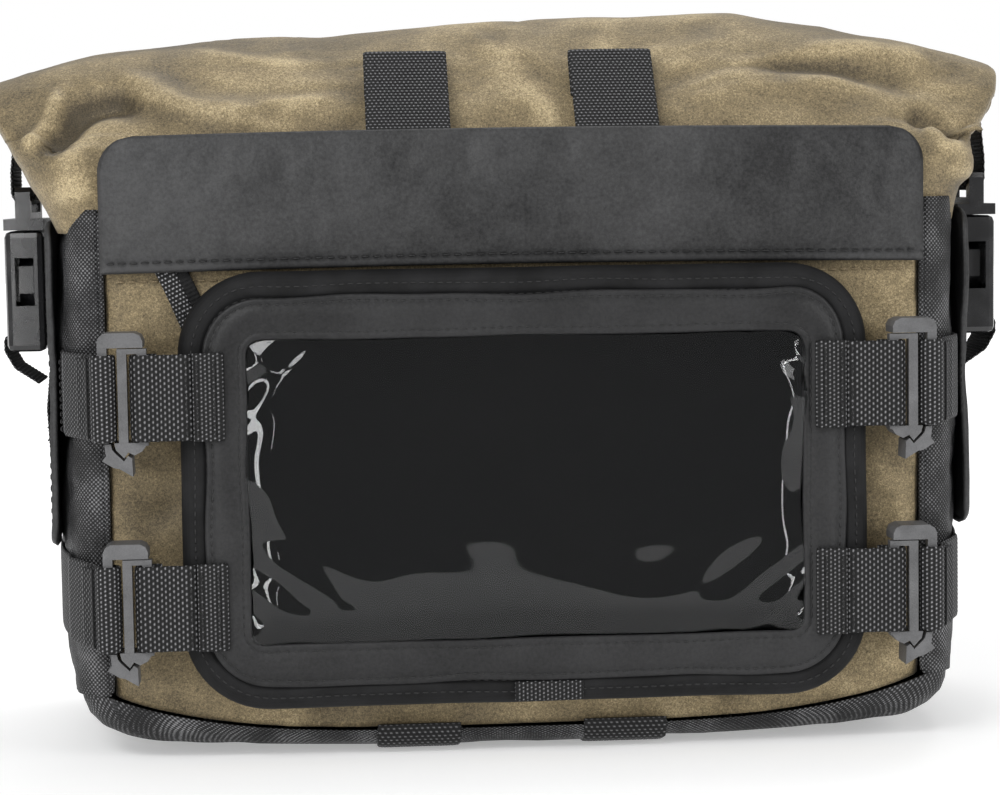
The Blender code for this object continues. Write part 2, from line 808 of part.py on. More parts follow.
def make_hook_webbing(name, side, top_z, reach_y, pull):
    middle = top_z - HOOK_WEBBING_DROP
    low = middle - WEBBING_WIDTH / 2
    high = middle + WEBBING_WIDTH / 2
    bend = 0.0032
    side_x = BODY_HALF_WIDTH + 0.0009
    side_path = [
        (side_x, reach_y),
        (side_x, FRONT_Y + 0.008),
        (side_x - 0.0016, FRONT_Y + 0.0012),
        (side_x - 0.0046, FRONT_Y - 0.0060),
        (side_x - 0.0066, FRONT_Y - 0.0115),
        *arc((HOOK_BAR_X, HOOK_Y), bend, 340, 90, 12),
        (HOOK_BAR_X + 0.0022, HOOK_Y + bend + 0.0003),
    ]
    prism(
        f"side_strap_{name}",
        mirrored(webbing_strip(side_path), side),
        "Z",
        low,
        high,
        WEB,
    )
    sewn_y = POUCH_FLOOR_Y - POUCH_DEPTH - 0.0024
    pouch_path = [
        (HOOK_LINK_X - 0.0185, sewn_y),
        (HOOK_LINK_X - 0.0100, sewn_y),
        (HOOK_LINK_X - 0.0050, HOOK_Y - 0.0022),
        *arc((HOOK_LINK_X, HOOK_Y), bend, 250, 450, 10),
        (HOOK_LINK_X - 0.0030, HOOK_Y + bend),
    ]
    strap = prism(
        f"pouch_strap_{name}",
        mirrored(webbing_strip(pouch_path), side),
        "Z",
        low,
        high,
        WEB,
    )
    carry(pull, strap)


def main():
    make_foot()
    make_walls()
    make_liner()
    make_collar()
    make_yoke()
    make_zip()
    make_loops_and_back_straps()
    lift = pivot("roll_lift", (0, ROLL_Y, ROLL_FOOT_Z))
    make_roll(lift)
    for name, side in (("left", -1), ("right", 1)):
        make_side_buckle(name, side, lift)
    pull = pivot("pouch_pull", (POUCH_X, POUCH_BACK_Y, POUCH_Z))
    make_pouch(pull)
    for level, top_z in HOOK_TOPS.items():
        reach_y = -0.032 if level == "upper" else 0.040
        for name, side in (("left", -1), ("right", 1)):
            make_hook_buckle(f"{name}_{level}", side, top_z, pull)
            make_hook_webbing(f"{name}_{level}", side, top_z, reach_y, pull)
    stand_on_floor()


def stand_on_floor():
    for obj in bpy.data.objects:
        if obj.parent is None:
            obj.location.z += STRAP_DROP


main()
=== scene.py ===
import math

import bmesh
import bpy
import numpy as np
from mathutils import Matrix, Vector, noise


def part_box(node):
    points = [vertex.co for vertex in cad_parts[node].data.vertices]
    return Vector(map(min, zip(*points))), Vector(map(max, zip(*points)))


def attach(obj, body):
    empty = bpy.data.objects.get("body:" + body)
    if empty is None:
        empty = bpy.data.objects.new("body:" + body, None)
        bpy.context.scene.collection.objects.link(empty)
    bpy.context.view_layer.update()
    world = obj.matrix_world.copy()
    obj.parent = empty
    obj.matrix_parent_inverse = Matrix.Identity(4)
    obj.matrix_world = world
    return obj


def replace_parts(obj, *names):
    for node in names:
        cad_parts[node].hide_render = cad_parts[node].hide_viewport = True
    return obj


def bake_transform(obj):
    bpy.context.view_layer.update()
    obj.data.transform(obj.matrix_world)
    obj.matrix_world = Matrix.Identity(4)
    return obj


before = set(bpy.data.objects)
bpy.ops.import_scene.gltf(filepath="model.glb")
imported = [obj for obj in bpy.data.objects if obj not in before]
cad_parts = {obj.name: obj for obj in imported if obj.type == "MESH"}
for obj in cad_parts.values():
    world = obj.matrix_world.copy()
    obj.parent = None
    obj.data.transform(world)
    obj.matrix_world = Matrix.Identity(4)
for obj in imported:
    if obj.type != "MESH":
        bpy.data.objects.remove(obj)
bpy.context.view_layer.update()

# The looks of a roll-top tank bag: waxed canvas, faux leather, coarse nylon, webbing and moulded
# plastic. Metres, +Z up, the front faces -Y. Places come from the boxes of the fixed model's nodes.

WEAVE_PITCH = 0.00135
UP = Vector((0, 0, 1))
FORWARD = (0, -1, 0)
SIDES = (("left", -1), ("right", 1))


# Heights in this file are given from a level this far above the undersides of the harness straps, which
# the bag stands on. Every piece is placed by RAISED.
STRAP_DROP = 0.0045
RAISED = Vector((0, 0, STRAP_DROP))


def box(node):
    """The lowest and the highest corner of a node, with heights from that level."""
    low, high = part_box(node)
    return low - RAISED, high - RAISED


def front_of(low, high):
    """The centre and the size of a box as seen from the front, in X and Z."""
    return ((low.x + high.x) / 2, (low.z + high.z) / 2), (high.x - low.x, high.z - low.z)


# Where things are.

BODY_LOW, BODY_HIGH = box("bottom_panel")
FRONT_Y = BODY_LOW.y
BACK_Y = BODY_HIGH.y
GUSSET_LOW, GUSSET_HIGH = box("right_gusset")
SIDE_X = GUSSET_HIGH.x
SIDE_TOP_Z = GUSSET_HIGH.z
PANEL_HIGH = box("front_canvas_panel")[1]
ROLL_LOW, ROLL_HIGH = box("rolled_top")
ROLL_Y = (ROLL_LOW.y + ROLL_HIGH.y) / 2
YOKE_LOW, YOKE_HIGH = box("yoke_panel")
BAND_LOW, BAND_HIGH = box("pouch_band")
FRAME_LOW, FRAME_HIGH = box("pouch_frame")
PANE_LOW, PANE_HIGH = box("pouch_window")


# Materials. Every pattern is in the space of the object, so a scale of 1000 is one cell a millimetre.


class Nodes:
    """A material and a short way to add nodes to it."""

    def __init__(self, name, roughness, **settings):
        self.material = bpy.data.materials.new(name)
        self.material.use_nodes = True
        self.tree = self.material.node_tree
        self.shader = self.tree.nodes["Principled BSDF"]
        self.shader.inputs["Roughness"].default_value = roughness
        for socket, value in settings.items():
            self.shader.inputs[socket.replace("_", " ")].default_value = value
        self.place = self.tree.nodes.new("ShaderNodeTexCoord").outputs["Object"]

    def add(self, kind, inputs=(), **properties):
        node = self.tree.nodes.new(kind)
        for name, value in properties.items():
            setattr(node, name, value)
        for name, value in dict(inputs).items():
            if isinstance(value, bpy.types.NodeSocket):
                self.tree.links.new(value, node.inputs[name])
            else:
                node.inputs[name].default_value = value
        return node

    def mapped(self, stretch, turn):
        inputs = {"Vector": self.place, "Scale": stretch, "Rotation": turn}
        return self.add("ShaderNodeMapping", inputs).outputs[0]

    def noise(self, scale, detail=3.0, roughness=0.55, stretch=(1, 1, 1), turn=(0, 0, 0)):
        place = self.mapped(stretch, turn)
        inputs = {"Vector": place, "Scale": scale, "Detail": detail, "Roughness": roughness}
        return self.add("ShaderNodeTexNoise", inputs).outputs["Fac"]

    def cells(self, scale, randomness=1.0, turn=(0, 0, 0)):
        place = self.mapped((1, 1, 1), turn)
        inputs = {"Vector": place, "Scale": scale, "Randomness": randomness}
        return self.add("ShaderNodeTexVoronoi", inputs).outputs["Distance"]

    def attribute(self, name):
        return self.add("ShaderNodeAttribute", attribute_name=name).outputs["Fac"]

    def math(self, operation, first, second=0.0, third=0.0):
        inputs = {0: first, 1: second, 2: third}
        return self.add("ShaderNodeMath", inputs, operation=operation).outputs[0]

    def vary(self, base, pattern, amount):
        """The base with a pattern added to it. The pattern's middle level, 0.5, changes nothing."""
        return self.math("MULTIPLY_ADD", self.math("SUBTRACT", pattern, 0.5), amount, base)

    def ramp(self, value, *stops):
        """A colour or a grey level for each of several values."""
        node = self.add("ShaderNodeValToRGB", {"Fac": value})
        elements = node.color_ramp.elements
        while len(elements) < len(stops):
            elements.new(0.5)
        for element, (position, colour) in zip(elements, stops):
            element.position = position
            level = colour if isinstance(colour, tuple) else (colour, colour, colour)
            element.color = (*level, 1.0)
        return node.outputs["Color"]

    def mix(self, share, first, second, blend="MIX"):
        node = self.add("ShaderNodeMix", data_type="RGBA", blend_type=blend)
        for index, value in ((0, share), (6, first), (7, second)):
            if isinstance(value, bpy.types.NodeSocket):
                self.tree.links.new(value, node.inputs[index])
            elif isinstance(value, tuple):
                node.inputs[index].default_value = (*value, 1.0)
            else:
                node.inputs[index].default_value = value
        return node.outputs[2]

    def colour(self, value):
        self.tree.links.new(value, self.shader.inputs["Base Color"])

    def roughness(self, value):
        self.tree.links.new(value, self.shader.inputs["Roughness"])

    def bump(self, height, strength, distance, below=None):
        inputs = {"Height": height, "Strength": strength, "Distance": distance}
        if below is not None:
            inputs["Normal"] = below
        normal = self.add("ShaderNodeBump", inputs).outputs[0]
        self.tree.links.new(normal, self.shader.inputs["Normal"])
        return normal


def waxed_canvas():
    """Tan duck cloth with wax in it, dark and grey where the wax pools. Its colour also takes the relief
    attribute: fold ridges are painted paler as a painted highlight, fold hollows darker as painted shade,
    and the pale crest lines are partly wax wear, partly painted highlight.
    """
    m = Nodes("waxed_canvas", 0.62, Specular_IOR_Level=0.35, Sheen_Weight=0.10, Sheen_Roughness=0.5)
    clouds = m.noise(26, 5.0, 0.6)
    streaks = m.noise(70, 4.0, 0.65, stretch=(0.55, 1, 1), turn=(0, 0.5, 0))
    grain = m.noise(1100, 3.0, 0.75)
    flecks = m.noise(2300, 2.0, 0.7)
    # The relief attribute added here paints fold ridges paler and fold hollows darker, as painted highlight
    # and painted shade, on top of the wax's own cloudy tone.
    wear_and_shading = m.math("MULTIPLY_ADD", m.attribute("relief"), 0.24, m.vary(0.52, clouds, 0.85))
    wear_and_shading = m.vary(m.vary(wear_and_shading, streaks, 0.50), grain, 0.85)
    tan = m.ramp(
        wear_and_shading,
        (0.16, (0.075, 0.058, 0.033)),
        (0.42, (0.180, 0.139, 0.076)),
        (0.60, (0.268, 0.208, 0.114)),
        (0.84, (0.480, 0.385, 0.226)),
    )
    speckle = m.ramp(flecks, (0.34, 0.48), (0.52, 1.0), (0.70, 1.40))
    m.colour(m.mix(0.90, tan, speckle, "MULTIPLY"))
    m.roughness(m.ramp(clouds, (0.3, 0.54), (0.7, 0.74)))
    coarse = m.bump(m.noise(420, 4.0, 0.7), 0.32, 0.0007)
    m.bump(grain, 0.40, 0.0004, coarse)
    return m.material


def faux_leather(name, dark, light):
    m = Nodes(name, 0.48, Specular_IOR_Level=0.34)
    dust = m.noise(17, 5.0, 0.65)
    pores = m.cells(1500, 1.0)
    grain = m.noise(900, 4.0, 0.7)
    # The relief attribute paints the yoke's rounded hem paler, a painted highlight; grain and dust are the
    # leather's own tone.
    shade = m.math("MULTIPLY_ADD", m.attribute("relief"), 0.30, m.math("MULTIPLY_ADD", grain, 0.60, dust))
    m.colour(m.ramp(shade, (0.60, dark), (1.02, light)))
    m.roughness(m.ramp(dust, (0.3, 0.43), (0.7, 0.58)))
    creases = m.bump(m.noise(150, 3.0, 0.6), 0.22, 0.0010)
    m.bump(m.math("MULTIPLY_ADD", pores, 0.6, grain), 0.22, 0.0003, creases)
    return m.material


def coarse_nylon():
    """Heavy plain-woven nylon, whose crossings catch the light."""
    m = Nodes("coarse_nylon", 0.60, Specular_IOR_Level=0.40)
    drift = m.math("MULTIPLY", m.noise(150, 2.0), 0.0011)
    waves = []
    for way in ("along", "up"):
        run = m.math("ADD", m.attribute(f"weave_{way}"), drift)
        turn = m.math("MULTIPLY", run, 2 * math.pi / WEAVE_PITCH)
        waves.append(m.math("COSINE", turn))
    crossings = m.math("MULTIPLY", *waves)
    patches = m.noise(60, 3.0, 0.6)
    lit = m.math("MULTIPLY_ADD", crossings, 0.36, patches)
    lit = m.vary(lit, m.noise(1900, 2.0, 0.7), 0.5)
    m.colour(
        m.ramp(
            lit,
            (0.30, (0.0030, 0.0030, 0.0034)),
            (0.58, (0.020, 0.020, 0.021)),
            (0.92, (0.220, 0.220, 0.226)),
        )
    )
    m.bump(crossings, 0.55, 0.0003)
    return m.material


def webbing_cloth(name, light):
    m = Nodes(name, 0.62, Specular_IOR_Level=0.28)
    fibres = m.noise(2600, 2.0, 0.7)
    lit = m.vary(m.attribute("relief"), fibres, 0.40)
    m.colour(
        m.ramp(
            lit,
            (0.10, (0.0014, 0.0014, 0.0016)),
            (0.45, (0.06 * light, 0.06 * light, 0.062 * light)),
            (0.98, (light, light, light * 1.03)),
        )
    )
    m.bump(fibres, 0.45, 0.0003)
    return m.material


def woven_binding():
    """The fine ribbed tape that binds the pouch."""
    m = Nodes("woven_binding", 0.70, Specular_IOR_Level=0.26)
    ribs = m.cells(1900, 0.25, turn=(0, math.radians(38), 0))
    patches = m.noise(90, 4.0, 0.6)
    lit = m.math("MULTIPLY_ADD", ribs, -0.5, patches)
    m.colour(m.ramp(lit, (0.10, (0.0018, 0.0018, 0.0020)), (0.60, (0.0125, 0.0125, 0.0135))))
    m.bump(ribs, -0.5, 0.0004)
    return m.material


def moulded(name, base, roughness, texture, coat=0.0):
    """Injection-moulded nylon with a fine spark finish."""
    m = Nodes(name, roughness, Coat_Weight=coat, Coat_Roughness=0.12)
    specks = m.noise(2600, 2.0, 0.6)
    handled = m.noise(130, 3.0, 0.6)
    low = tuple(0.72 * level for level in base)
    high = tuple(1.35 * level for level in base)
    m.colour(m.ramp(m.math("MULTIPLY_ADD", specks, 0.5, handled), (0.5, low), (1.0, high)))
    m.roughness(m.ramp(handled, (0.35, roughness * 0.82), (0.7, roughness * 1.25)))
    m.bump(specks, texture, 0.0003)
    return m.material


def clear_vinyl():
    m = Nodes("clear_vinyl", 0.020, Transmission_Weight=1.0, IOR=1.32)
    m.colour(m.ramp(m.noise(20, 2.0), (0.3, (0.86, 0.88, 0.90)), (0.7, (0.93, 0.94, 0.95))))
    m.bump(m.noise(34, 1.0, 0.4), 0.04, 0.0010)
    return m.material


def plain_cloth(name, dark, light, scale, roughness=0.8, shine=0.5):
    m = Nodes(name, roughness, Specular_IOR_Level=shine)
    weave = m.cells(scale, 0.3, turn=(0.6, 0.6, 0.6))
    m.colour(m.ramp(m.math("MULTIPLY_ADD", m.noise(80), 0.5, weave), (0.3, light), (0.9, dark)))
    m.bump(weave, -0.8 * shine, 0.0004)
    return m.material


def foam_cells():
    m = Nodes("foam_cells", 0.92)
    cells = m.cells(900, 1.0)
    m.colour(m.ramp(cells, (0.2, (0.09, 0.09, 0.095)), (0.7, (0.03, 0.03, 0.032))))
    m.bump(cells, -0.6, 0.0006)
    return m.material


CANVAS = waxed_canvas()
LEATHER = faux_leather("faux_leather", (0.009, 0.009, 0.0095), (0.054, 0.054, 0.055))
FRAME_LEATHER = faux_leather("frame_leather", (0.004, 0.004, 0.0044), (0.024, 0.024, 0.025))
NYLON = coarse_nylon()
WEB = webbing_cloth("webbing_cloth", 0.30)
# A lighter copy of the same webbing for the straps round the bag's sides: the extra lightness is painted
# light, for the light that falls on the sides.
LIT_SIDE_WEB = webbing_cloth("lit_side_webbing_cloth", 0.40)
CORD = webbing_cloth("puller_cord", 0.50)
BINDING = woven_binding()
HOOK = moulded("hook_plastic", (0.098, 0.098, 0.101), 0.50, 0.30)
GLOSS = moulded("buckle_plastic", (0.010, 0.010, 0.011), 0.24, 0.05, coat=0.35)
VINYL = clear_vinyl()
LINING = plain_cloth("pouch_lining", (0.0012, 0.0012, 0.0014), (0.0050, 0.0050, 0.0056), 1500, shine=0.04)
LINER = plain_cloth("liner_cloth", (0.040, 0.042, 0.046), (0.085, 0.088, 0.094), 1200)
FOAM = foam_cells()
ZIP = moulded("zip_parts", (0.010, 0.010, 0.011), 0.36, 0.12)
TAN_THREAD = plain_cloth("tan_thread", (0.16, 0.12, 0.065), (0.36, 0.28, 0.16), 2500, 0.6)
BLACK_THREAD = plain_cloth("black_thread", (0.004, 0.004, 0.004), (0.016, 0.016, 0.017), 2500, 0.55)


# Mesh making.


def mend(mesh, closed_below=None):
    """Turns every face outwards, and first closes the open rim below a height, where one is given."""
    work = bmesh.new()
    work.from_mesh(mesh)
    if closed_below is not None:
        rims = [edge for edge in work.edges if edge.is_boundary and edge.verts[0].co.z < closed_below]
        bmesh.ops.contextual_create(work, geom=rims)
    bmesh.ops.recalc_face_normals(work, faces=work.faces)
    work.to_mesh(mesh)
    work.free()


def new_object(name, mesh, material):
    obj = bpy.data.objects.new(name, mesh)
    obj.location = RAISED
    bpy.context.scene.collection.objects.link(obj)
    mesh.materials.clear()
    mesh.materials.append(material)
    mesh.shade_smooth()
    return obj


def grid_mesh(name, rows, material, loop_rows=False, loop_columns=False, capped=False):
    """A mesh through rows of points. loop_columns joins each row's end to its start."""
    rows = np.asarray(rows, float)
    count, across = rows.shape[:2]
    index = np.arange(count * across).reshape(count, across)
    lines = count if loop_rows else count - 1
    columns = across if loop_columns else across - 1
    faces = []
    for i in range(lines):
        k = (i + 1) % count
        for j in range(columns):
            n = (j + 1) % across
            faces.append((index[i, j], index[i, n], index[k, n], index[k, j]))
    if capped:
        faces.append(tuple(index[0][::-1]))
        faces.append(tuple(index[-1]))
    mesh = bpy.data.meshes.new(name)
    mesh.from_pydata(rows.reshape(-1, 3).tolist(), [], [tuple(map(int, f)) for f in faces])
    mesh.validate()
    mend(mesh)
    steps = {
        "along": np.diff(rows, axis=1, prepend=rows[:, :1]), "up": np.diff(rows, axis=0, prepend=rows[:1]),
    }
    for axis, (way, step) in enumerate(steps.items()):
        run = np.cumsum(np.linalg.norm(step, axis=2), axis=1 - axis).mean(axis=axis, keepdims=True)
        layer = mesh.attributes.new(f"weave_{way}", "FLOAT", "POINT")
        layer.data.foreach_set("value", np.broadcast_to(run, (count, across)).astype(np.float32).ravel())
    return new_object(name, mesh, material)


def vectors_of(mesh, kind):
    values = np.empty(len(mesh.vertices) * 3, np.float32)
    mesh.vertices.foreach_get(kind, values)
    return values.reshape(-1, 3).astype(float)


def points_of(obj):
    return vectors_of(obj.data, "co")


def set_points(obj, points):
    obj.data.vertices.foreach_set("co", np.asarray(points, np.float32).ravel())
    obj.data.update()


def normals_of(obj):
    return vectors_of(obj.data, "normal")


def turn_to(obj, axis, sign):
    """Turns the faces round if they look away from the given side of an axis."""
    if normals_of(obj)[:, axis].mean() * sign < 0:
        obj.data.flip_normals()


def set_relief(obj, values):
    """How far each point stands out, from 0 to 1 or from -1 to 1, for the material to shade by: the
    materials paint raised points paler and low points darker, as painted highlight and painted shade.
    """
    layer = obj.data.attributes.get("relief") or obj.data.attributes.new("relief", "FLOAT", "POINT")
    layer.data.foreach_set("value", np.asarray(values, np.float32))


def thicken(obj, thickness, offset=-1.0):
    """Gives a sheet its thickness and keeps the result as the object's own mesh."""
    skin = obj.modifiers.new("thickness", "SOLIDIFY")
    skin.thickness = thickness
    skin.offset = offset
    skin.use_even_offset = False
    bpy.context.view_layer.update()
    graph = bpy.context.evaluated_depsgraph_get()
    mesh = bpy.data.meshes.new_from_object(obj.evaluated_get(graph))
    obj.modifiers.clear()
    obj.data = mesh
    mesh.shade_smooth()


def soften(obj, levels=1):
    smooth = obj.modifiers.new("smooth", "SUBSURF")
    smooth.levels = levels
    smooth.render_levels = levels


def ease(t):
    t = np.clip(t, 0.0, 1.0)
    return t * t * (3 - 2 * t)


def through(points, count):
    """A smooth curve through a few points, as count points evenly spaced along it."""
    points = np.asarray(points, float)
    padded = np.vstack((2 * points[0] - points[1], points, 2 * points[-1] - points[-2]))
    fine = []
    for p0, p1, p2, p3 in zip(padded, padded[1:], padded[2:], padded[3:]):
        for t in np.linspace(0, 1, 16, endpoint=False):
            a = 2 * p1 + (p2 - p0) * t + (2 * p0 - 5 * p1 + 4 * p2 - p3) * t**2
            fine.append(0.5 * (a + (3 * p1 - p0 - 3 * p2 + p3) * t**3))
    return evenly(np.array([*fine, points[-1]]), count)


def evenly(points, count):
    """The same polyline with count points, evenly spaced."""
    points = np.asarray(points, float)
    steps = np.linalg.norm(np.diff(points, axis=0), axis=1)
    run = np.concatenate([[0.0], np.cumsum(steps)])
    places = np.linspace(0, run[-1], count)
    return np.stack([np.interp(places, run, axis) for axis in points.T], axis=1)


def run_length(points):
    return float(np.linalg.norm(np.diff(np.asarray(points, float), axis=0), axis=1).sum())


def arc(centre, radius, start, end, steps):
    angles = np.radians(np.linspace(start, end, steps + 1))
    return [(centre[0] + radius * math.cos(a), centre[1] + radius * math.sin(a)) for a in angles]


def fractal(points, scale, seed, octaves=3):
    """Smooth noise from about -1 to 1 at each point, with features 1 / scale across."""
    shift = Vector((seed * 7.31, seed * 3.17, seed * 5.03))
    values = [
        noise.fractal(Vector(p) * scale + shift, 0.9, 2.1, octaves, noise_basis="PERLIN_ORIGINAL")
        for p in np.asarray(points).tolist()
    ]
    return np.array(values)


def crease(points, line, width):
    """1 on a line drawn on the front of the bag, in X and Z, falling to 0 beside it and at its ends."""
    curve = through(line, 40)
    flat = np.asarray(points)[:, [0, 2]]
    gaps = np.linalg.norm(flat[:, None, :] - curve[None, :, :], axis=2)
    nearest = gaps.argmin(axis=1)
    along = nearest / (len(curve) - 1)
    ends = ease(along / 0.25) * ease((1 - along) / 0.25)
    return np.exp(-((gaps.min(axis=1) / width) ** 2)) * (0.15 + 0.85 * ends)


def fold_rise(points, folds):
    """How far several folds together lift each point. A fold is its line, its width and its height."""
    rise = np.zeros(len(points))
    for line, width, height in folds:
        rise += crease(points, line, width) * height
    return rise


def settle(obj, held, grow=0.0, push=0.0, limit=0.004, frames=20, bend=0.6, weight=0.25):
    """Runs the cloth solver on a sheet, holding some points, and keeps the shape that it settles to.

    The cloth is cut larger by grow, so it buckles into soft creases; push blows it outwards."""
    rest = points_of(obj)
    group = obj.vertex_groups.new(name="held")
    for share in np.unique(np.round(held, 2)):
        if share > 0:
            group.add([int(i) for i in np.flatnonzero(np.round(held, 2) == share)], float(share), "REPLACE")
    cloth = obj.modifiers.new("cloth", "CLOTH")
    settings = cloth.settings
    settings.quality = 6
    settings.mass = weight
    settings.tension_stiffness = 18
    settings.compression_stiffness = 18
    settings.shear_stiffness = 8
    settings.bending_stiffness = bend
    settings.air_damping = 2.0
    settings.vertex_group_mass = "held"
    settings.pin_stiffness = 4.0
    settings.shrink_min = -grow
    settings.effector_weights.gravity = 0.0
    if push:
        settings.use_pressure = True
        settings.uniform_pressure_force = push
    cloth.collision_settings.use_collision = False
    cloth.collision_settings.use_self_collision = False
    scene = bpy.context.scene
    scene.frame_start = 1
    cloth.point_cache.frame_start = 1
    cloth.point_cache.frame_end = frames
    for step in range(1, frames + 1):
        scene.frame_set(step)
    graph = bpy.context.evaluated_depsgraph_get()
    moved = vectors_of(obj.evaluated_get(graph).to_mesh(), "co")
    obj.evaluated_get(graph).to_mesh_clear()
    obj.modifiers.remove(cloth)
    scene.frame_set(1)
    shift = moved - rest
    reach = np.linalg.norm(shift, axis=1)
    capped = limit * np.tanh(reach / limit)
    set_points(obj, rest + shift * (capped / np.maximum(reach, 1e-9))[:, None])
    obj.vertex_groups.clear()


def join_meshes(name, pieces, material):
    """Several closed meshes as one object."""
    work = bmesh.new()
    for vertices, faces in pieces:
        made = [work.verts.new(tuple(v)) for v in vertices]
        for face in faces:
            work.faces.new([made[i] for i in face])
    mesh = bpy.data.meshes.new(name)
    work.to_mesh(mesh)
    work.free()
    return new_object(name, mesh, material)


# Sewing.

STITCH_RADIUS = 0.00030


def bead(start, end, out, radius=STITCH_RADIUS, sides=6):
    """One stitch: a short thread that bows up out of the cloth and dives back at each end."""
    start, end, out = Vector(start), Vector(end), Vector(out).normalized()
    along = end - start
    across = along.cross(out).normalized()
    # How far along the stitch, how thick, and how far out of the cloth.
    stations = (
        (0.0, 0.15, -0.6), (0.08, 0.75, 0.1), (0.3, 1.0, 0.75),
        (0.7, 1.0, 0.75), (0.92, 0.75, 0.1), (1.0, 0.15, -0.6),
    )
    vertices = []
    for t, fat, rise in stations:
        centre = start + along * t + out * (rise * radius)
        for k in range(sides):
            a = 2 * math.pi * k / sides
            vertices.append(centre + (across * math.cos(a) + out * math.sin(a) * 0.8) * radius * fat)
    faces = []
    for i in range(len(stations) - 1):
        for k in range(sides):
            n = (k + 1) % sides
            faces.append((i * sides + k, i * sides + n, (i + 1) * sides + n, (i + 1) * sides + k))
    faces.append(tuple(range(sides))[::-1])
    faces.append(tuple((len(stations) - 1) * sides + k for k in range(sides)))
    return vertices, faces


def seam(name, lines, material, pitch=0.0034, share=0.72, radius=STITCH_RADIUS):
    """Rows of stitches. Each line is its points and the way out of the cloth, at each point or for all."""
    made = []
    for points, out in lines:
        points = np.asarray(points, float)
        count = max(2, round(run_length(points) / pitch))
        stops = evenly(points, 4 * count + 1)
        out = np.asarray(out, float)
        if out.ndim == 2:
            ways = evenly(out, 4 * count + 1)
        else:
            ways = np.tile(out, (len(stops), 1))
        for i in range(count):
            first, last = stops[4 * i], stops[4 * i + 4]
            end = first + (last - first) * share
            made.append(bead(first, end, ways[4 * i + 2], radius))
    obj = join_meshes(name, made, material)
    mend(obj.data)
    obj.data.shade_smooth()
    return obj


def stitch_row(start, end, out):
    """A straight row for seam, with the way out of the cloth."""
    return np.linspace(start, end, 20), out


# Webbing. A rib crosses the strap, and a dash is one raised stitch of the weave along a rib.

RIB = 0.00120
DASH = 0.00170
STRAP_PITCH = 0.0022


def webbing(name, path, across, width, thickness, material=WEB, step=None, relief=0.00028, dash=DASH):
    """A woven strap along a path, with ribs across it that rise in rows of dashes.

    The path is the strap's middle line, and across is the way its width runs."""
    across = np.asarray(Vector(across).normalized())
    step = step or RIB / 4
    length = run_length(path)
    line = evenly(path, max(8, round(length / step)))
    tangent = np.gradient(line, axis=0)
    tangent /= np.linalg.norm(tangent, axis=1)[:, None]
    normal = np.cross(tangent, across)
    run = np.linspace(0, length, len(line))
    columns = max(12, round(width / 0.00042))
    t = np.linspace(-0.5, 0.5, columns)
    row = np.floor(run / RIB)
    rib = np.sin(math.pi * run / RIB) ** 2
    dashes = 0.5 + 0.5 * np.cos(2 * math.pi * (t[None, :] * width / dash + 0.5 * (row[:, None] % 2)))
    edge = np.sqrt(np.clip(1 - (np.abs(2 * t)) ** 14, 0, 1))
    rise = rib[:, None] * (0.16 + 0.84 * dashes)
    half = thickness / 2
    top = half * (0.55 + 0.45 * edge)[None, :] - relief * 0.6 + relief * rise * edge[None, :]
    spread = line[:, None, :] + across[None, None, :] * (t * width)[None, :, None]
    front = spread + normal[:, None, :] * top[:, :, None]
    behind = spread[:, ::-1] - normal[:, None, :] * top[:, ::-1, None]
    obj = grid_mesh(name, np.concatenate((front, behind), axis=1), material, loop_columns=True, capped=True)
    shade = np.concatenate((rise, rise[:, ::-1]), axis=1)
    if len(obj.data.vertices) == shade.size:
        set_relief(obj, shade.ravel())
    return obj


def place(points, plane, level=0.0):
    """Points of a flat path set in the plane XY, YZ or XZ."""
    points = np.asarray(points, float)
    held = np.full(len(points), level)
    first, second = points[:, 0], points[:, 1]
    columns = {"XY": (first, second, held), "YZ": (held, first, second), "XZ": (first, held, second)}
    return np.stack(columns[plane], axis=1)


# The waxed-canvas top: one sheet from behind the yoke, up over the roll and round into its turns.


def roll_crest(x):
    """The height of the top edge, which sags to both ends and stands highest right of the middle."""
    marks = (
        (-0.165, 0.1965), (-0.148, 0.2030), (-0.128, 0.2065), (-0.080, 0.2110), (-0.035, 0.2142),
        (0.010, 0.2160), (0.075, 0.2165), (0.104, 0.2140), (0.128, 0.2085), (0.146, 0.2050),
        (0.165, 0.1985),
    )
    xs, zs = zip(*marks)
    return np.interp(x, xs, zs)


NECK_FOOT_Z = PANEL_HIGH.z + 0.0055
NECK_BREAK_Z = 0.176
# Across the roll: depth, and height as a share of the way from the neck's break to the crest.
ROLL_TURN = (
    (-0.0455, -0.28), (-0.0430, 0.00), (-0.0385, 0.17), (-0.0310, 0.40), (-0.0215, 0.67), (-0.0085, 0.90),
    (0.0070, 1.00), (0.0215, 0.93), (0.0310, 0.74), (0.0325, 0.54), (0.0260, 0.40), (0.0110, 0.345),
    (-0.0040, 0.375), (-0.0125, 0.50), (-0.0115, 0.66), (-0.0020, 0.775), (0.0110, 0.79), (0.0195, 0.70),
    (0.0185, 0.575), (0.0090, 0.50), (0.0000, 0.53),
)
CANVAS_COLUMNS = 220
CANVAS_ROWS = 150


def canvas_reach(z, side):
    """How far out the sheet's edge lies at each height: it flares from the body to the roll's tips."""
    if side < 0:
        heights = (0.150, 0.160, 0.173, 0.187, 0.196, 0.206)
        reaches = (0.1345, 0.1390, 0.1450, 0.1545, 0.1580, 0.1550)
    else:
        heights = (0.150, 0.160, 0.173, 0.186, 0.199, 0.208)
        reaches = (0.1345, 0.1360, 0.1400, 0.1480, 0.1545, 0.1530)
    return np.interp(z, heights, reaches)


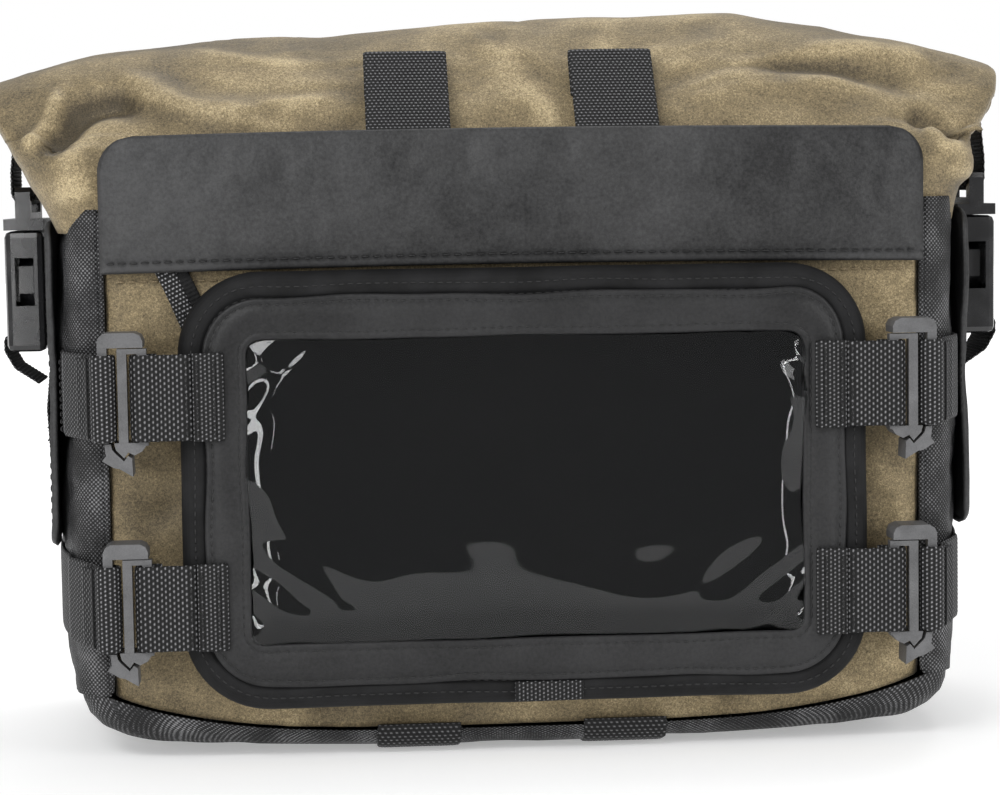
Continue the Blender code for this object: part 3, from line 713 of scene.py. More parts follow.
# Each fold: its line on the front, half its width, and how far it stands out, in metres.
ROLL_FOLDS = (
    (((-0.1400, 0.1735), (-0.1290, 0.1885), (-0.1190, 0.1925), (-0.1060, 0.1920)), 0.0042, -0.0058),
    (((-0.1440, 0.1770), (-0.1370, 0.1870), (-0.1335, 0.1960)), 0.0026, 0.0030),
    (((-0.1220, 0.1975), (-0.1080, 0.1955), (-0.0940, 0.1885), (-0.0700, 0.1865)), 0.0045, 0.0036),
    (((-0.0900, 0.1835), (-0.0600, 0.1830), (-0.0300, 0.1860)), 0.0045, -0.0016),
    (((-0.1500, 0.1930), (-0.1200, 0.2040), (-0.0750, 0.2070)), 0.0070, 0.0016),
    (((-0.0700, 0.2060), (-0.0300, 0.2000), (0.0050, 0.2040)), 0.0080, -0.0018),
    (((0.0500, 0.1890), (0.0800, 0.1950), (0.1100, 0.1945)), 0.0050, 0.0022),
    (((0.0850, 0.2040), (0.1100, 0.2040), (0.1350, 0.2005)), 0.0036, 0.0030),
    (((0.0700, 0.1990), (0.1000, 0.1990), (0.1300, 0.1930)), 0.0044, -0.0034),
    (((0.1180, 0.1835), (0.1270, 0.1835), (0.1360, 0.1790), (0.1440, 0.1775)), 0.0030, -0.0052),
    (((0.1240, 0.1825), (0.1280, 0.1780), (0.1270, 0.1720)), 0.0022, 0.0020),
    (((0.1290, 0.1770), (0.1360, 0.1700), (0.1370, 0.1630)), 0.0060, 0.0030),
    (((-0.1330, 0.1790), (-0.1300, 0.1700), (-0.1290, 0.1600)), 0.0060, 0.0022),
)
# Narrow crests, painted pale: partly where the wax has worn, partly a painted highlight along each crest.
ROLL_CRESTS = (
    ((-0.1330, 0.2002), (-0.1137, 0.1951), (-0.1009, 0.1900), (-0.0821, 0.1843), (-0.0600, 0.1835)),
    ((-0.0740, 0.1905), (-0.0533, 0.1915)),
    ((-0.1380, 0.1740), (-0.1345, 0.1820), (-0.1354, 0.1894)),
    ((0.0649, 0.2000), (0.0810, 0.2026), (0.1024, 0.2041), (0.1170, 0.2062)),
    ((0.0470, 0.1909), (0.0649, 0.1966), (0.0810, 0.1975), (0.1024, 0.1939), (0.1200, 0.1900)),
    ((0.1180, 0.1860), (0.1300, 0.1830), (0.1400, 0.1815)),
    ((-0.1000, 0.2075), (-0.0700, 0.2040), (-0.0500, 0.2050)),
)


def make_canvas_top():
    turn = through(ROLL_TURN, CANVAS_ROWS - 10)
    spans = np.linspace(-1, 1, CANVAS_COLUMNS)
    spans = 0.65 * spans + 0.35 * np.sin(spans * math.pi / 2)
    rows = []
    last_over = np.argmax(turn[:, 1])
    for i in range(CANVAS_ROWS):
        if i < 10:
            depth = turn[0, 0]
            z = NECK_FOOT_Z + (NECK_BREAK_Z - NECK_FOOT_Z) * 0.72 * i / 10 + 0 * spans
            y = np.full(CANVAS_COLUMNS, depth)
        else:
            depth, share = turn[i - 10]
            crest = roll_crest(spans * ROLL_HIGH.x)
            if share <= 0:
                z = NECK_BREAK_Z + share * 0.025 + 0 * spans
            else:
                z = NECK_BREAK_Z + (crest - NECK_BREAK_Z) * share
            pinch = 1 - 0.18 * ease((np.abs(spans) - 0.7) / 0.3)
            y = ROLL_Y + (depth - ROLL_Y) * np.where(share > 0.2, pinch, 1.0)
        over = i - 10 > last_over
        reach_left = canvas_reach(np.maximum(z, 0.196) if over else z, -1)
        reach_right = canvas_reach(np.maximum(z, 0.196) if over else z, 1)
        x = np.where(spans < 0, spans * reach_left, spans * reach_right)
        reach = np.where(spans < 0, reach_left, reach_right)
        corner = 0.014 * (1 - ease((z - 0.165) / 0.030)) + 0.004
        inside = np.clip((np.abs(x) - (reach - corner)) / corner, 0, 1)
        if not over:
            y = y + corner * (1 - np.sqrt(np.clip(1 - inside**2, 0, 1))) * 0.9
        rows.append(np.stack([x, y, z], axis=1))
    obj = grid_mesh("canvas_top", rows, CANVAS)
    points = points_of(obj)
    normals = normals_of(obj)
    front = np.repeat(np.arange(CANVAS_ROWS) < last_over + 22, CANVAS_COLUMNS)
    facing = normals[points[:, 1] < -0.04, 1]
    if (facing > 0).sum() > (facing < 0).sum():
        obj.data.flip_normals()
        normals = -normals
    rise = fold_rise(points, ROLL_FOLDS) * front
    wear_and_shading = np.zeros(len(points))
    for line in ROLL_CRESTS:
        wear_and_shading = np.maximum(wear_and_shading, crease(points, line, 0.0017) * front)
    rise += wear_and_shading * 0.0007
    swell = fractal(points * (0.5, 1, 1), 26, 3, 2) * 0.0020
    swell = swell + fractal(points * (0.6, 1, 1.2), 80, 5, 2) * 0.0004
    flat = np.exp(-(((np.abs(points[:, 0]) - 0.031) / 0.016) ** 4)) * (points[:, 1] < -0.02)
    foot = ease((points[:, 2] - 0.158) / 0.014)
    inner = np.repeat(np.arange(CANVAS_ROWS) > 100, CANVAS_COLUMNS)
    swell *= foot * (1 - 0.9 * flat) * np.where(inner, 0.3, 1.0)
    rise = rise * (1 - 0.9 * flat) + swell
    rise = np.where(rise > 0.0030, 0.0030 + (rise - 0.0030) * 0.4, rise)
    set_points(obj, points + normals * rise[:, None])
    row_number = np.repeat(np.arange(CANVAS_ROWS), CANVAS_COLUMNS)
    held = np.where(row_number < 8, 1.0, 0.0)
    held = np.maximum(held, np.where(row_number > 104, 1.0, 0.0))
    held = np.maximum(held, np.where(flat > 0.4, 1.0, 0.0))
    settle(obj, held, grow=0.006, limit=0.0014, frames=20, bend=9.0)
    grown = points_of(obj)
    lift = ((grown - points) * normals).sum(axis=1)
    grid = lift.reshape(CANVAS_ROWS, CANVAS_COLUMNS)
    blurred = grid.copy()
    for _ in range(24):
        padded = np.pad(blurred, 1, mode="edge")
        blurred = (padded[:-2, 1:-1] + padded[2:, 1:-1] + padded[1:-1, :-2] + padded[1:-1, 2:]) / 4
    # The relief paints the folds that the cloth solver raised: raised cloth paler as a painted highlight,
    # sunken cloth darker as painted shade, and the crest lines paler still.
    set_relief(obj, np.clip((grid - blurred).ravel() / 0.0011 + 0.35 * wear_and_shading, -1, 1))
    thicken(obj, 0.0012)
    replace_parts(obj, "rolled_top")
    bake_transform(obj)


make_canvas_top()


# The neck under the roll: the sides and back of the canvas, folded in like the end of a paper bag.


def plan_loop(half_x, front, back, corner, along=60, sides=36, turn=8):
    """A level loop round the bag, as X and Y, starting at the left front corner."""
    loop = [(x, front) for x in np.linspace(-half_x + corner, half_x - corner, along, endpoint=False)]
    loop += arc((half_x - corner, front + corner), corner, -90, 0, turn)[:-1]
    loop += [(half_x, y) for y in np.linspace(front + corner, back - corner, sides, endpoint=False)]
    loop += arc((half_x - corner, back - corner), corner, 0, 90, turn)[:-1]
    loop += [(x, back) for x in np.linspace(half_x - corner, -half_x + corner, along, endpoint=False)]
    loop += arc((-half_x + corner, back - corner), corner, 90, 180, turn)[:-1]
    loop += [(-half_x, y) for y in np.linspace(back - corner, front + corner, sides, endpoint=False)]
    loop += arc((-half_x + corner, front + corner), corner, 180, 270, turn)[:-1]
    return np.array(loop)


def make_canvas_neck():
    foot = SIDE_TOP_Z - 0.006
    # Height, half width, how far in the sides fold, front, back and corner of each loop.
    levels = (
        (foot, 0.1312, 0.0000, 0.0026, -0.0022, 0.011),
        (foot + 0.010, 0.1330, 0.0000, 0.0036, -0.0010, 0.012),
        (foot + 0.018, 0.1335, 0.0080, 0.0070, -0.0040, 0.012),
        (foot + 0.026, 0.1370, 0.0200, 0.0140, -0.0160, 0.012),
        (foot + 0.033, 0.1430, 0.0270, 0.0230, -0.0290, 0.011),
        (foot + 0.038, 0.1480, 0.0240, 0.0330, -0.0385, 0.009),
    )
    tables = np.array(levels)
    rows = []
    for height in np.linspace(levels[0][0], levels[-1][0], 26):
        values = (np.interp(height, tables[:, 0], tables[:, k]) for k in range(1, 6))
        half_x, fold, front, back, corner = values
        loop = plan_loop(half_x, FRONT_Y + front, BACK_Y + back, corner)
        middle_y = (FRONT_Y + front + BACK_Y + back) / 2
        depth = (BACK_Y + back - FRONT_Y - front) / 2
        on_side = np.abs(loop[:, 0]) > half_x - corner
        inward = fold * ease(1 - np.abs(loop[:, 1] - middle_y) / (depth * 0.85)) * on_side
        x = loop[:, 0] - np.sign(loop[:, 0]) * inward
        droop = 0.012 * (x / 0.157) ** 2 * ease((height - foot) / 0.03)
        rows.append(np.stack([x, loop[:, 1], height - droop], axis=1))
    obj = grid_mesh("canvas_neck", rows, CANVAS, loop_columns=True)
    points = points_of(obj)
    normals = normals_of(obj)
    swell = fractal(points, 42, 8) * 0.0016 + fractal(points, 130, 9) * 0.0006
    swell *= ease((points[:, 2] - foot - 0.004) / 0.010)
    set_points(obj, points + normals * swell[:, None])
    held = np.where((points[:, 2] < foot + 0.006) | (points[:, 2] > foot + 0.030), 1.0, 0.0)
    settle(obj, held, grow=0.03, limit=0.0025, frames=16, bend=1.0)
    # Swells are painted paler and dips darker through relief: painted highlight and painted shade.
    set_relief(obj, np.clip(swell / 0.0016, -1, 1))
    thicken(obj, 0.0012)
    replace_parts(obj, "canvas_collar")
    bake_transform(obj)


make_canvas_neck()


# The body: a canvas front, coarse nylon sides, foot and back, and leather wings over the sides.


def rim_z(x):
    """The height of the seam between the foot and the walls, taken from the foot's own corners."""
    low, high = 0.0024, BODY_HIGH.z - 0.0013
    share = np.minimum(1.0, np.abs(x) / (SIDE_X - 0.008))
    return low + (high - low) * share**4


# The front panel's folds, and the tucks beside the two straps at its foot.
FRONT_FOLDS = (
    (((-0.1215, 0.1000), (-0.1150, 0.0930), (-0.1030, 0.0900)), 0.0030, 0.0010),
    (((-0.1200, 0.0760), (-0.1100, 0.0700), (-0.1000, 0.0720)), 0.0035, -0.0012),
    (((0.1010, 0.0850), (0.1120, 0.0740), (0.1190, 0.0520)), 0.0035, 0.0010),
    (((0.1060, 0.0480), (0.1130, 0.0360), (0.1200, 0.0330)), 0.0030, -0.0010),
    (((-0.0620, 0.0085), (-0.0605, 0.0110), (-0.0590, 0.0150)), 0.0016, -0.0014),
    (((0.0640, 0.0085), (0.0630, 0.0110), (0.0615, 0.0150)), 0.0016, -0.0014),
)


def make_front_panel():
    half = PANEL_HIGH.x - 0.0004
    top = PANEL_HIGH.z - 0.0002
    spans = np.linspace(-1, 1, 150)
    rows = []
    for share in np.linspace(0, 1, 90):
        x = spans * half
        foot = rim_z(x) + 0.0012
        z = foot + (top - foot) * share
        round_foot = 0.0060 * ease(1 - share / 0.10) ** 2
        edge = np.clip((np.abs(spans) - 0.93) / 0.07, 0, 1)
        y = FRONT_Y - 0.0002 + 0.0030 * (1 - np.sqrt(1 - edge**2 * 0.98)) + round_foot * 0.35
        rows.append(np.stack([x, y + 0 * z, z], axis=1))
    obj = grid_mesh("front_panel", rows, CANVAS)
    points = points_of(obj)
    turn_to(obj, 1, -1)
    rise = fractal(points, 40, 21) * 0.0012 + fractal(points, 110, 22) * 0.0005
    rise += fold_rise(points, FRONT_FOLDS)
    rise *= np.where(points[:, 2] > 0.135, 0.3, 1.0)
    set_points(obj, points + np.array([0.0, -1.0, 0.0]) * (rise * 0.7)[:, None])
    # Raised folds are painted paler and sunken folds and tucks darker through relief: painted highlight and
    # painted shade.
    set_relief(obj, np.clip(rise / 0.0014, -1, 1) * 0.6)
    thicken(obj, 0.0013)
    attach(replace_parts(obj, "front_canvas_panel"), "root")
    # A tan row of stitches under the yoke, on the zip's lower edge.
    row_z = PANEL_HIGH.z - 0.0088
    x = np.linspace(-half + 0.004, half - 0.004, 60)
    line = np.stack([x, np.full_like(x, FRONT_Y - 0.0006), row_z + 0 * x], axis=1)
    thread = seam("zip_edge_stitches", [(line, FORWARD)], TAN_THREAD)
    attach(thread, "root")
    # The foot's darts, sewn flat.
    for number, x in enumerate((-0.0610, 0.0632)):
        tuck = np.array([(x, FRONT_Y - 0.0012, rim_z(x) + 0.0022), (x + 0.0012, FRONT_Y - 0.0014, 0.0185)])
        thread = seam(f"foot_dart_stitches_{number + 1}", [(tuck, FORWARD)], TAN_THREAD, 0.0026)
        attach(thread, "root")


SIDE_BULGE = 0.0070


def side_swell(y, z):
    """How far a side stands out past the flat between its seams."""
    across = np.clip((y - FRONT_Y - 0.011) / (BACK_Y - FRONT_Y - 0.011), 0, 1)
    up = np.clip((z - 0.012) / (SIDE_TOP_Z - 0.012), 0, 1)
    middle = np.clip(4 * up * (1 - up), 0, 1) ** 0.45
    return SIDE_BULGE * (4 * across * (1 - across)) ** 0.8 * (middle * 0.75 + 0.25)


def side_profile(count=70, corner=0.011):
    """The path round one side of the bag in plan, from the front seam to the back seam, side +1."""
    outer = SIDE_X
    path = arc((outer - corner, FRONT_Y + corner), corner, -88, 0, 14)
    path += [(outer, y) for y in np.linspace(FRONT_Y + corner, BACK_Y - corner, 60)][1:-1]
    path += arc((outer - corner, BACK_Y - corner), corner, 0, 88, 14)
    return evenly(path, count)


def make_side(name, side):
    low = GUSSET_LOW.z - 0.0012
    profile = side_profile()
    heights = np.linspace(low, SIDE_TOP_Z, 90)
    out = profile[:, 0] - profile[:, 0].min()
    sway = 0.5 * out / out.max() + 0.5
    rows = []
    for z in heights:
        swell = side_swell(profile[:, 1], z)
        rows.append(np.stack([side * (profile[:, 0] + swell * sway), profile[:, 1], 0 * swell + z], axis=1))
    obj = grid_mesh(f"{name}_side_panel", rows, NYLON)
    points = points_of(obj)
    normals = normals_of(obj)
    if (normals[:, 0] * side).mean() < 0:
        obj.data.flip_normals()
        normals = -normals
    inner = ease((points[:, 1] - FRONT_Y - 0.004) / 0.01) * ease((BACK_Y - 0.004 - points[:, 1]) / 0.01)
    rise = (fractal(points, 36, 31 + side) * 0.0011 + fractal(points, 100, 33 + side) * 0.0004) * inner
    set_points(obj, points + normals * rise[:, None])
    ends = (points[:, 2] < low + 0.004) | (points[:, 2] > SIDE_TOP_Z - 0.004)
    held = np.where((inner < 0.3) | ends, 1.0, 0.0)
    settle(obj, held, grow=0.006, push=0.6, limit=0.0012, frames=14, bend=2.0)
    thicken(obj, 0.0014)
    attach(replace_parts(obj, f"{name}_gusset"), "root")
    # Piping where the side meets the front and the back.
    x = side * (SIDE_X - 0.0110)
    for number, y in enumerate((FRONT_Y + 0.0004, BACK_Y - 0.0004)):
        line = [(x, y, z) for z in np.linspace(low + 0.001, SIDE_TOP_Z - 0.001, 40)]
        piping = tube(f"{name}_piping_{number + 1}", line, 0.0009, NYLON)
        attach(piping, "root")


def tube(name, line, radius, material, sides=10):
    """A round cord along a line, closed at both ends with a rounded tip."""
    line = np.asarray(line, float)
    tangent = np.gradient(line, axis=0)
    tangent /= np.linalg.norm(tangent, axis=1)[:, None]
    guide = np.array([0.0, 1.0, 0.0]) if abs(tangent[0, 1]) < 0.8 else np.array([0.0, 0.0, 1.0])
    rows = []
    for i, (point, way) in enumerate(zip(line, tangent)):
        first = np.cross(way, guide)
        first /= np.linalg.norm(first)
        second = np.cross(way, first)
        guide = -second if np.dot(guide, -second) > 0 else second
        size = radius * (0.6 if i in (0, len(line) - 1) else 1.0)
        angles = 2 * math.pi * np.arange(sides) / sides
        rows.append(point + size * (np.cos(angles)[:, None] * first + np.sin(angles)[:, None] * second))
    return grid_mesh(name, rows, material, loop_columns=True, capped=True)


make_front_panel()
for side_name, side_sign in SIDES:
    make_side(side_name, side_sign)


# Panels with rounded corners: the yoke, the side wings and the pouch.


def rounded_outline(centre, size, radius, count):
    """An even loop of points round a rectangle with round corners, counterclockwise from the right."""
    half_u, half_v = size[0] / 2 - radius, size[1] / 2 - radius
    points = []
    for turn, (su, sv) in enumerate(((1, 1), (-1, 1), (-1, -1), (1, -1))):
        corner = (centre[0] + su * half_u, centre[1] + sv * half_v)
        points += arc(corner, radius, 90 * turn, 90 * turn + 90, 12)
    points.append(points[0])
    return evenly(points, count + 1)[:-1]


def patch_grid(centre, size, radius, columns, rows):
    """A grid that fills a rectangle with round corners: rows run up, columns across."""
    u = np.linspace(-1, 1, columns)
    v = np.linspace(-1, 1, rows)
    half_u, half_v = size[0] / 2, size[1] / 2
    grid = np.zeros((rows, columns, 2))
    for i, b in enumerate(v):
        z = b * half_v
        over = max(0.0, abs(z) - (half_v - radius))
        reach = half_u - radius + math.sqrt(max(radius**2 - over**2, 1e-12))
        grid[i, :, 0] = centre[0] + u * reach
        grid[i, :, 1] = centre[1] + z
    return grid


def edge_gap(points, centre, size, radius):
    """How far inside a rounded rectangle each point lies."""
    qx = np.abs(points[:, 0] - centre[0]) - (size[0] / 2 - radius)
    qz = np.abs(points[:, 1] - centre[1]) - (size[1] / 2 - radius)
    outside = np.hypot(np.maximum(qx, 0), np.maximum(qz, 0)) + np.minimum(np.maximum(qx, qz), 0)
    return radius - outside


YOKE_CENTRE, YOKE_SIZE = front_of(YOKE_LOW, YOKE_HIGH)
YOKE_TOP_CORNER = 0.0105


def yoke_bend(x):
    """The yoke's slow curve: its middle stands higher at the top edge than its ends."""
    return 0.0012 * (1 - (x / 0.122) ** 2)


def make_yoke():
    radius = YOKE_TOP_CORNER
    grid = patch_grid(YOKE_CENTRE, YOKE_SIZE, radius, 190, 46)
    # The foot of the yoke is cut square; only the top corners are round.
    low = grid[:, :, 1] < YOKE_CENTRE[1]
    spans = np.linspace(-1, 1, 190)[None, :] * YOKE_SIZE[0] / 2 + YOKE_CENTRE[0]
    grid[:, :, 0] = np.where(low, np.broadcast_to(spans, low.shape), grid[:, :, 0])
    flat = grid.reshape(-1, 2)
    gap = np.minimum(edge_gap(flat, YOKE_CENTRE, YOKE_SIZE, radius), 0.02)
    to_side = YOKE_SIZE[0] / 2 - np.abs(flat[:, 0] - YOKE_CENTRE[0])
    gap = np.where(flat[:, 1] < YOKE_CENTRE[1], np.minimum(flat[:, 1] - YOKE_LOW.z, to_side), gap)
    gap = np.maximum(gap, 0)
    rows = np.zeros((46, 190, 3))
    rows[:, :, 0] = grid[:, :, 0]
    rows[:, :, 2] = grid[:, :, 1] + yoke_bend(grid[:, :, 0])
    crown = 0.0016 * (1 - np.exp(-gap / 0.0030)) + 0.0010 * ease(gap / 0.016)
    sewn = np.exp(-(((flat[:, 1] - (YOKE_LOW.z + 0.0030)) / 0.0007) ** 2)) * 0.0004
    wrap = 0.0018 * (np.abs(flat[:, 0]) / (YOKE_SIZE[0] / 2)) ** 8
    rows[:, :, 1] = (YOKE_HIGH.y - 0.0016 - crown + sewn + wrap).reshape(46, 190)
    obj = grid_mesh("yoke", rows, LEATHER)
    turn_to(obj, 1, -1)
    held = np.where(gap < 0.0036, 1.0, 0.0)
    settle(obj, held, grow=0.004, push=1.2, limit=0.0012, frames=14, bend=3.0, weight=0.4)
    points = points_of(obj)
    swell = (fractal(points, 24, 41, 2) * 0.0006 + fractal(points, 70, 43, 2) * 0.00018) * ease(gap / 0.01)
    top = YOKE_HIGH.z
    for x, drift, depth in ((-0.0165, 0.0020, 0.0009), (0.0160, -0.0015, 0.0007), (0.0475, 0.0020, 0.0009)):
        line = ((x, top), (x + drift, top - 0.006), (x + 2 * drift, top - 0.014))
        swell -= crease(points, line, 0.0040) * depth
    swell = np.where(flat[:, 1] < YOKE_CENTRE[1], np.maximum(swell, -0.0001), swell)
    set_points(obj, points + np.array([0, -1, 0]) * swell[:, None])
    # The hem strip below the stitches is painted paler through relief: a painted highlight on its rounded
    # edge.
    set_relief(obj, 0.5 * np.exp(-(((flat[:, 1] - (YOKE_LOW.z + 0.0013)) / 0.0009) ** 4)))
    thicken(obj, 0.0012)
    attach(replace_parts(obj, "yoke_panel"), "root")
    x = np.linspace(YOKE_LOW.x + 0.002, YOKE_HIGH.x - 0.002, 80)
    surface = YOKE_HIGH.y - 0.0016 - 0.00145 + 0.0018 * (np.abs(x) / (YOKE_SIZE[0] / 2)) ** 8
    line = np.stack([x, surface, YOKE_LOW.z + 0.0030 + yoke_bend(x)], axis=1)
    thread = seam("yoke_stitches", [(line, FORWARD)], BLACK_THREAD)
    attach(thread, "root")


def make_side_wing(name, side):
    """A leather wing sewn on the side, with a folded hem that the webbing tucks under."""
    low, high = box(f"{name}_side_wing")
    centre = ((low.y + high.y) / 2, (low.z + high.z) / 2 - 0.0005)
    size = (high.y - low.y, high.z - low.z + 0.002)

    def lie(along, z):
        """Where points of the flat wing lie in depth, and how far its front edge flares off the side."""
        waist = 0.0030 * np.exp(-(((z - 0.106) / 0.016) ** 2))
        front = ease((centre[0] - along) / (size[0] / 2))
        flare = 0.0036 * np.exp(-(((along - low.y) / 0.011) ** 2)) * (1 - 0.35 * waist / 0.0030)
        return along + waist * front - 0.006 * front, flare

    grid = patch_grid(centre, size, 0.010, 70, 80)
    z = grid[:, :, 1]
    y, flare = lie(grid[:, :, 0], z)
    flat = grid.reshape(-1, 2)
    gap = np.maximum(edge_gap(flat, centre, size, 0.010), 0).reshape(y.shape)
    hem = 0.0013 * np.exp(-((gap - 0.0012) / 0.0020) ** 2)
    x = SIDE_X + side_swell(y, z) + 0.0013 + hem + flare + 0.0004 * ease(gap / 0.01)
    x = x - 0.0010 * np.exp(-((gap / 0.0006) ** 2))
    rows = np.stack([side * x, y, z], axis=2)
    obj = grid_mesh(f"{name}_wing", rows, LEATHER)
    turn_to(obj, 0, side)
    points = points_of(obj)
    rise = fractal(points, 40, 51 + side, 3) * 0.0006
    set_points(obj, points + normals_of(obj) * rise[:, None])
    thicken(obj, 0.0011)
    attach(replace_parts(obj, f"{name}_side_wing"), "root")
    loop = rounded_outline(centre, (size[0] - 0.0085, size[1] - 0.0085), 0.0065, 240)
    y, flare = lie(loop[:, 0], loop[:, 1])
    x = SIDE_X + side_swell(y, loop[:, 1]) + 0.00195 + flare
    line = np.stack([side * x, y, loop[:, 1]], axis=1)
    thread = seam(f"{name}_wing_stitches", [(np.vstack((line, line[:1])), (side, 0, 0))], BLACK_THREAD)
    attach(thread, "root")


make_yoke()
for side_name, side_sign in SIDES:
    make_side_wing(side_name, side_sign)


# The pouch: a bound edge, a puckered leather frame and a clear window.

BAND_CORNER = 0.0240
FRAME_CORNER = 0.0168
# Centre, size and corner of the pouch's two rings.
BAND = (*front_of(BAND_LOW, BAND_HIGH), BAND_CORNER)
FRAME = (*front_of(FRAME_LOW, FRAME_HIGH), FRAME_CORNER)
PANE_CENTRE, PANE_SIZE = front_of(PANE_LOW, PANE_HIGH)
POUCH_FRONT_Y = FRAME_HIGH.y
POUCH_COLUMNS = 620


def pucker(loop, seed):
    """The slow wave of a sewn edge, as it pulls in and lets go round the pouch."""
    run = np.linspace(0, 2 * math.pi, len(loop), endpoint=False)
    wave = np.sin(9 * run + 0.8 * np.sin(3 * run + seed)) + 0.5 * np.sin(17 * run + 2.1 * seed)
    return wave / 1.5


def outward(loop):
    """The way out of a flat loop at each point."""
    after, before = np.roll(loop, -1, axis=0), np.roll(loop, 1, axis=0)
    tangent = after - before
    normal = np.stack([tangent[:, 1], -tangent[:, 0]], axis=1)
    return normal / np.linalg.norm(normal, axis=1)[:, None]


def ribbon(name, centre, size, radius, section, material, count=POUCH_COLUMNS, sway=0.0, seed=1,
           ruffle=0.0):
    """A band that follows a rounded rectangle. The section is a closed list of how far in and what depth."""
    loop = rounded_outline(centre, size, radius, count)
    out = outward(loop)
    wave = pucker(loop, seed)
    rows = []
    for inset, depth, follow in section:
        shift = -inset + sway * wave * follow
        flat = loop + out * shift[:, None]
        rows.append(np.stack([flat[:, 0], depth + ruffle * wave * follow, flat[:, 1]], axis=1))
    return grid_mesh(name, rows, material, loop_rows=True, loop_columns=True)


def loop_line(centre, size, radius, inset, depth, sway=0.0, ruffle=0.0, seed=1, count=POUCH_COLUMNS):
    loop = rounded_outline(centre, size, radius, count)
    wave = pucker(loop, seed)
    flat = loop + outward(loop) * (sway * wave - inset)[:, None]
    line = np.stack([flat[:, 0], depth + ruffle * wave, flat[:, 1]], axis=1)
    return np.vstack((line, line[:1]))


def make_pouch():
    band_front = BAND_LOW.y - 0.0002
    band_back = BAND_HIGH.y + 0.0001
    deep = band_back - band_front
    # Inset from the edge, depth, and how much of the pucker each corner of the section takes.
    section = (
        (0.0022, band_back, 0.0), (0.0008, band_back - 0.10 * deep, 0.0),
        (0.0000, band_back - 0.35 * deep, 0.2), (0.0000, band_front + 0.30 * deep, 0.4),
        (0.0009, band_front + 0.10 * deep, 0.6), (0.0026, band_front, 0.8),
        (0.0050, band_front - 0.0004, 0.9), (0.0067, band_front - 0.0002, 0.9),
        (0.0074, band_front + 0.0006, 0.9), (0.0081, band_front + 0.0001, 0.9),
        (0.0092, band_front + 0.0010, 0.8), (0.0094, band_front + 0.0026, 0.5),
        (0.0094, band_front + 0.5 * deep, 0.2), (0.0094, band_back - 0.3 * deep, 0.0),
        (0.0084, band_back, 0.0),
    )
    band = ribbon("pouch_binding", *BAND, section, BINDING, sway=0.00045, seed=2, ruffle=0.0004)
    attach(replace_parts(band, "pouch_band"), "pouch")

    face = POUCH_FRONT_Y - 0.0012
    frame_section = (
        (0.0000, POUCH_FRONT_Y - 0.0001, 1.0), (-0.0002, face + 0.0004, 1.0), (0.0004, face - 0.0002, 1.0),
        (0.0013, face - 0.0003, 1.0), (0.0019, face + 0.0002, 1.0), (0.0026, face - 0.0006, 0.8),
        (0.0050, face - 0.0012, 0.3), (0.0075, face - 0.0010, -0.3), (0.0096, face - 0.0006, -0.5),
        (0.0103, face - 0.0001, -0.5), (0.0110, face - 0.0006, -0.5), (0.0122, face - 0.0005, -0.4),
        (0.0127, face + 0.0002, -0.3), (0.0126, POUCH_FRONT_Y - 0.0001, -0.3),
        (0.0060, POUCH_FRONT_Y - 0.0001, 0.0),
    )
    frame_ring = ribbon(
        "pouch_leather", *FRAME, frame_section, FRAME_LEATHER, sway=0.00055, seed=5, ruffle=0.00045
    )
    soften(frame_ring)
    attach(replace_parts(frame_ring, "pouch_frame"), "pouch")

    rows = [
        (loop_line(*BAND, 0.0074, band_front + 0.0003, 0.0004, 0.0003, 2), FORWARD),
        (loop_line(*BAND, 0.0040, band_front - 0.0002, 0.0004, 0.0003, 2), FORWARD),
    ]
    thread = seam("binding_stitches", rows, BLACK_THREAD, pitch=0.0026, radius=0.00024)
    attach(thread, "pouch")
    rows = [
        (loop_line(*FRAME, 0.0019, face + 0.0001, 0.00055, 0.00045, 5), FORWARD),
        (loop_line(*FRAME, 0.0103, face - 0.0001, -0.00028, -0.0002, 5), FORWARD),
    ]
    thread = seam("frame_stitches", rows, BLACK_THREAD, pitch=0.0026, radius=0.00026)
    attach(thread, "pouch")


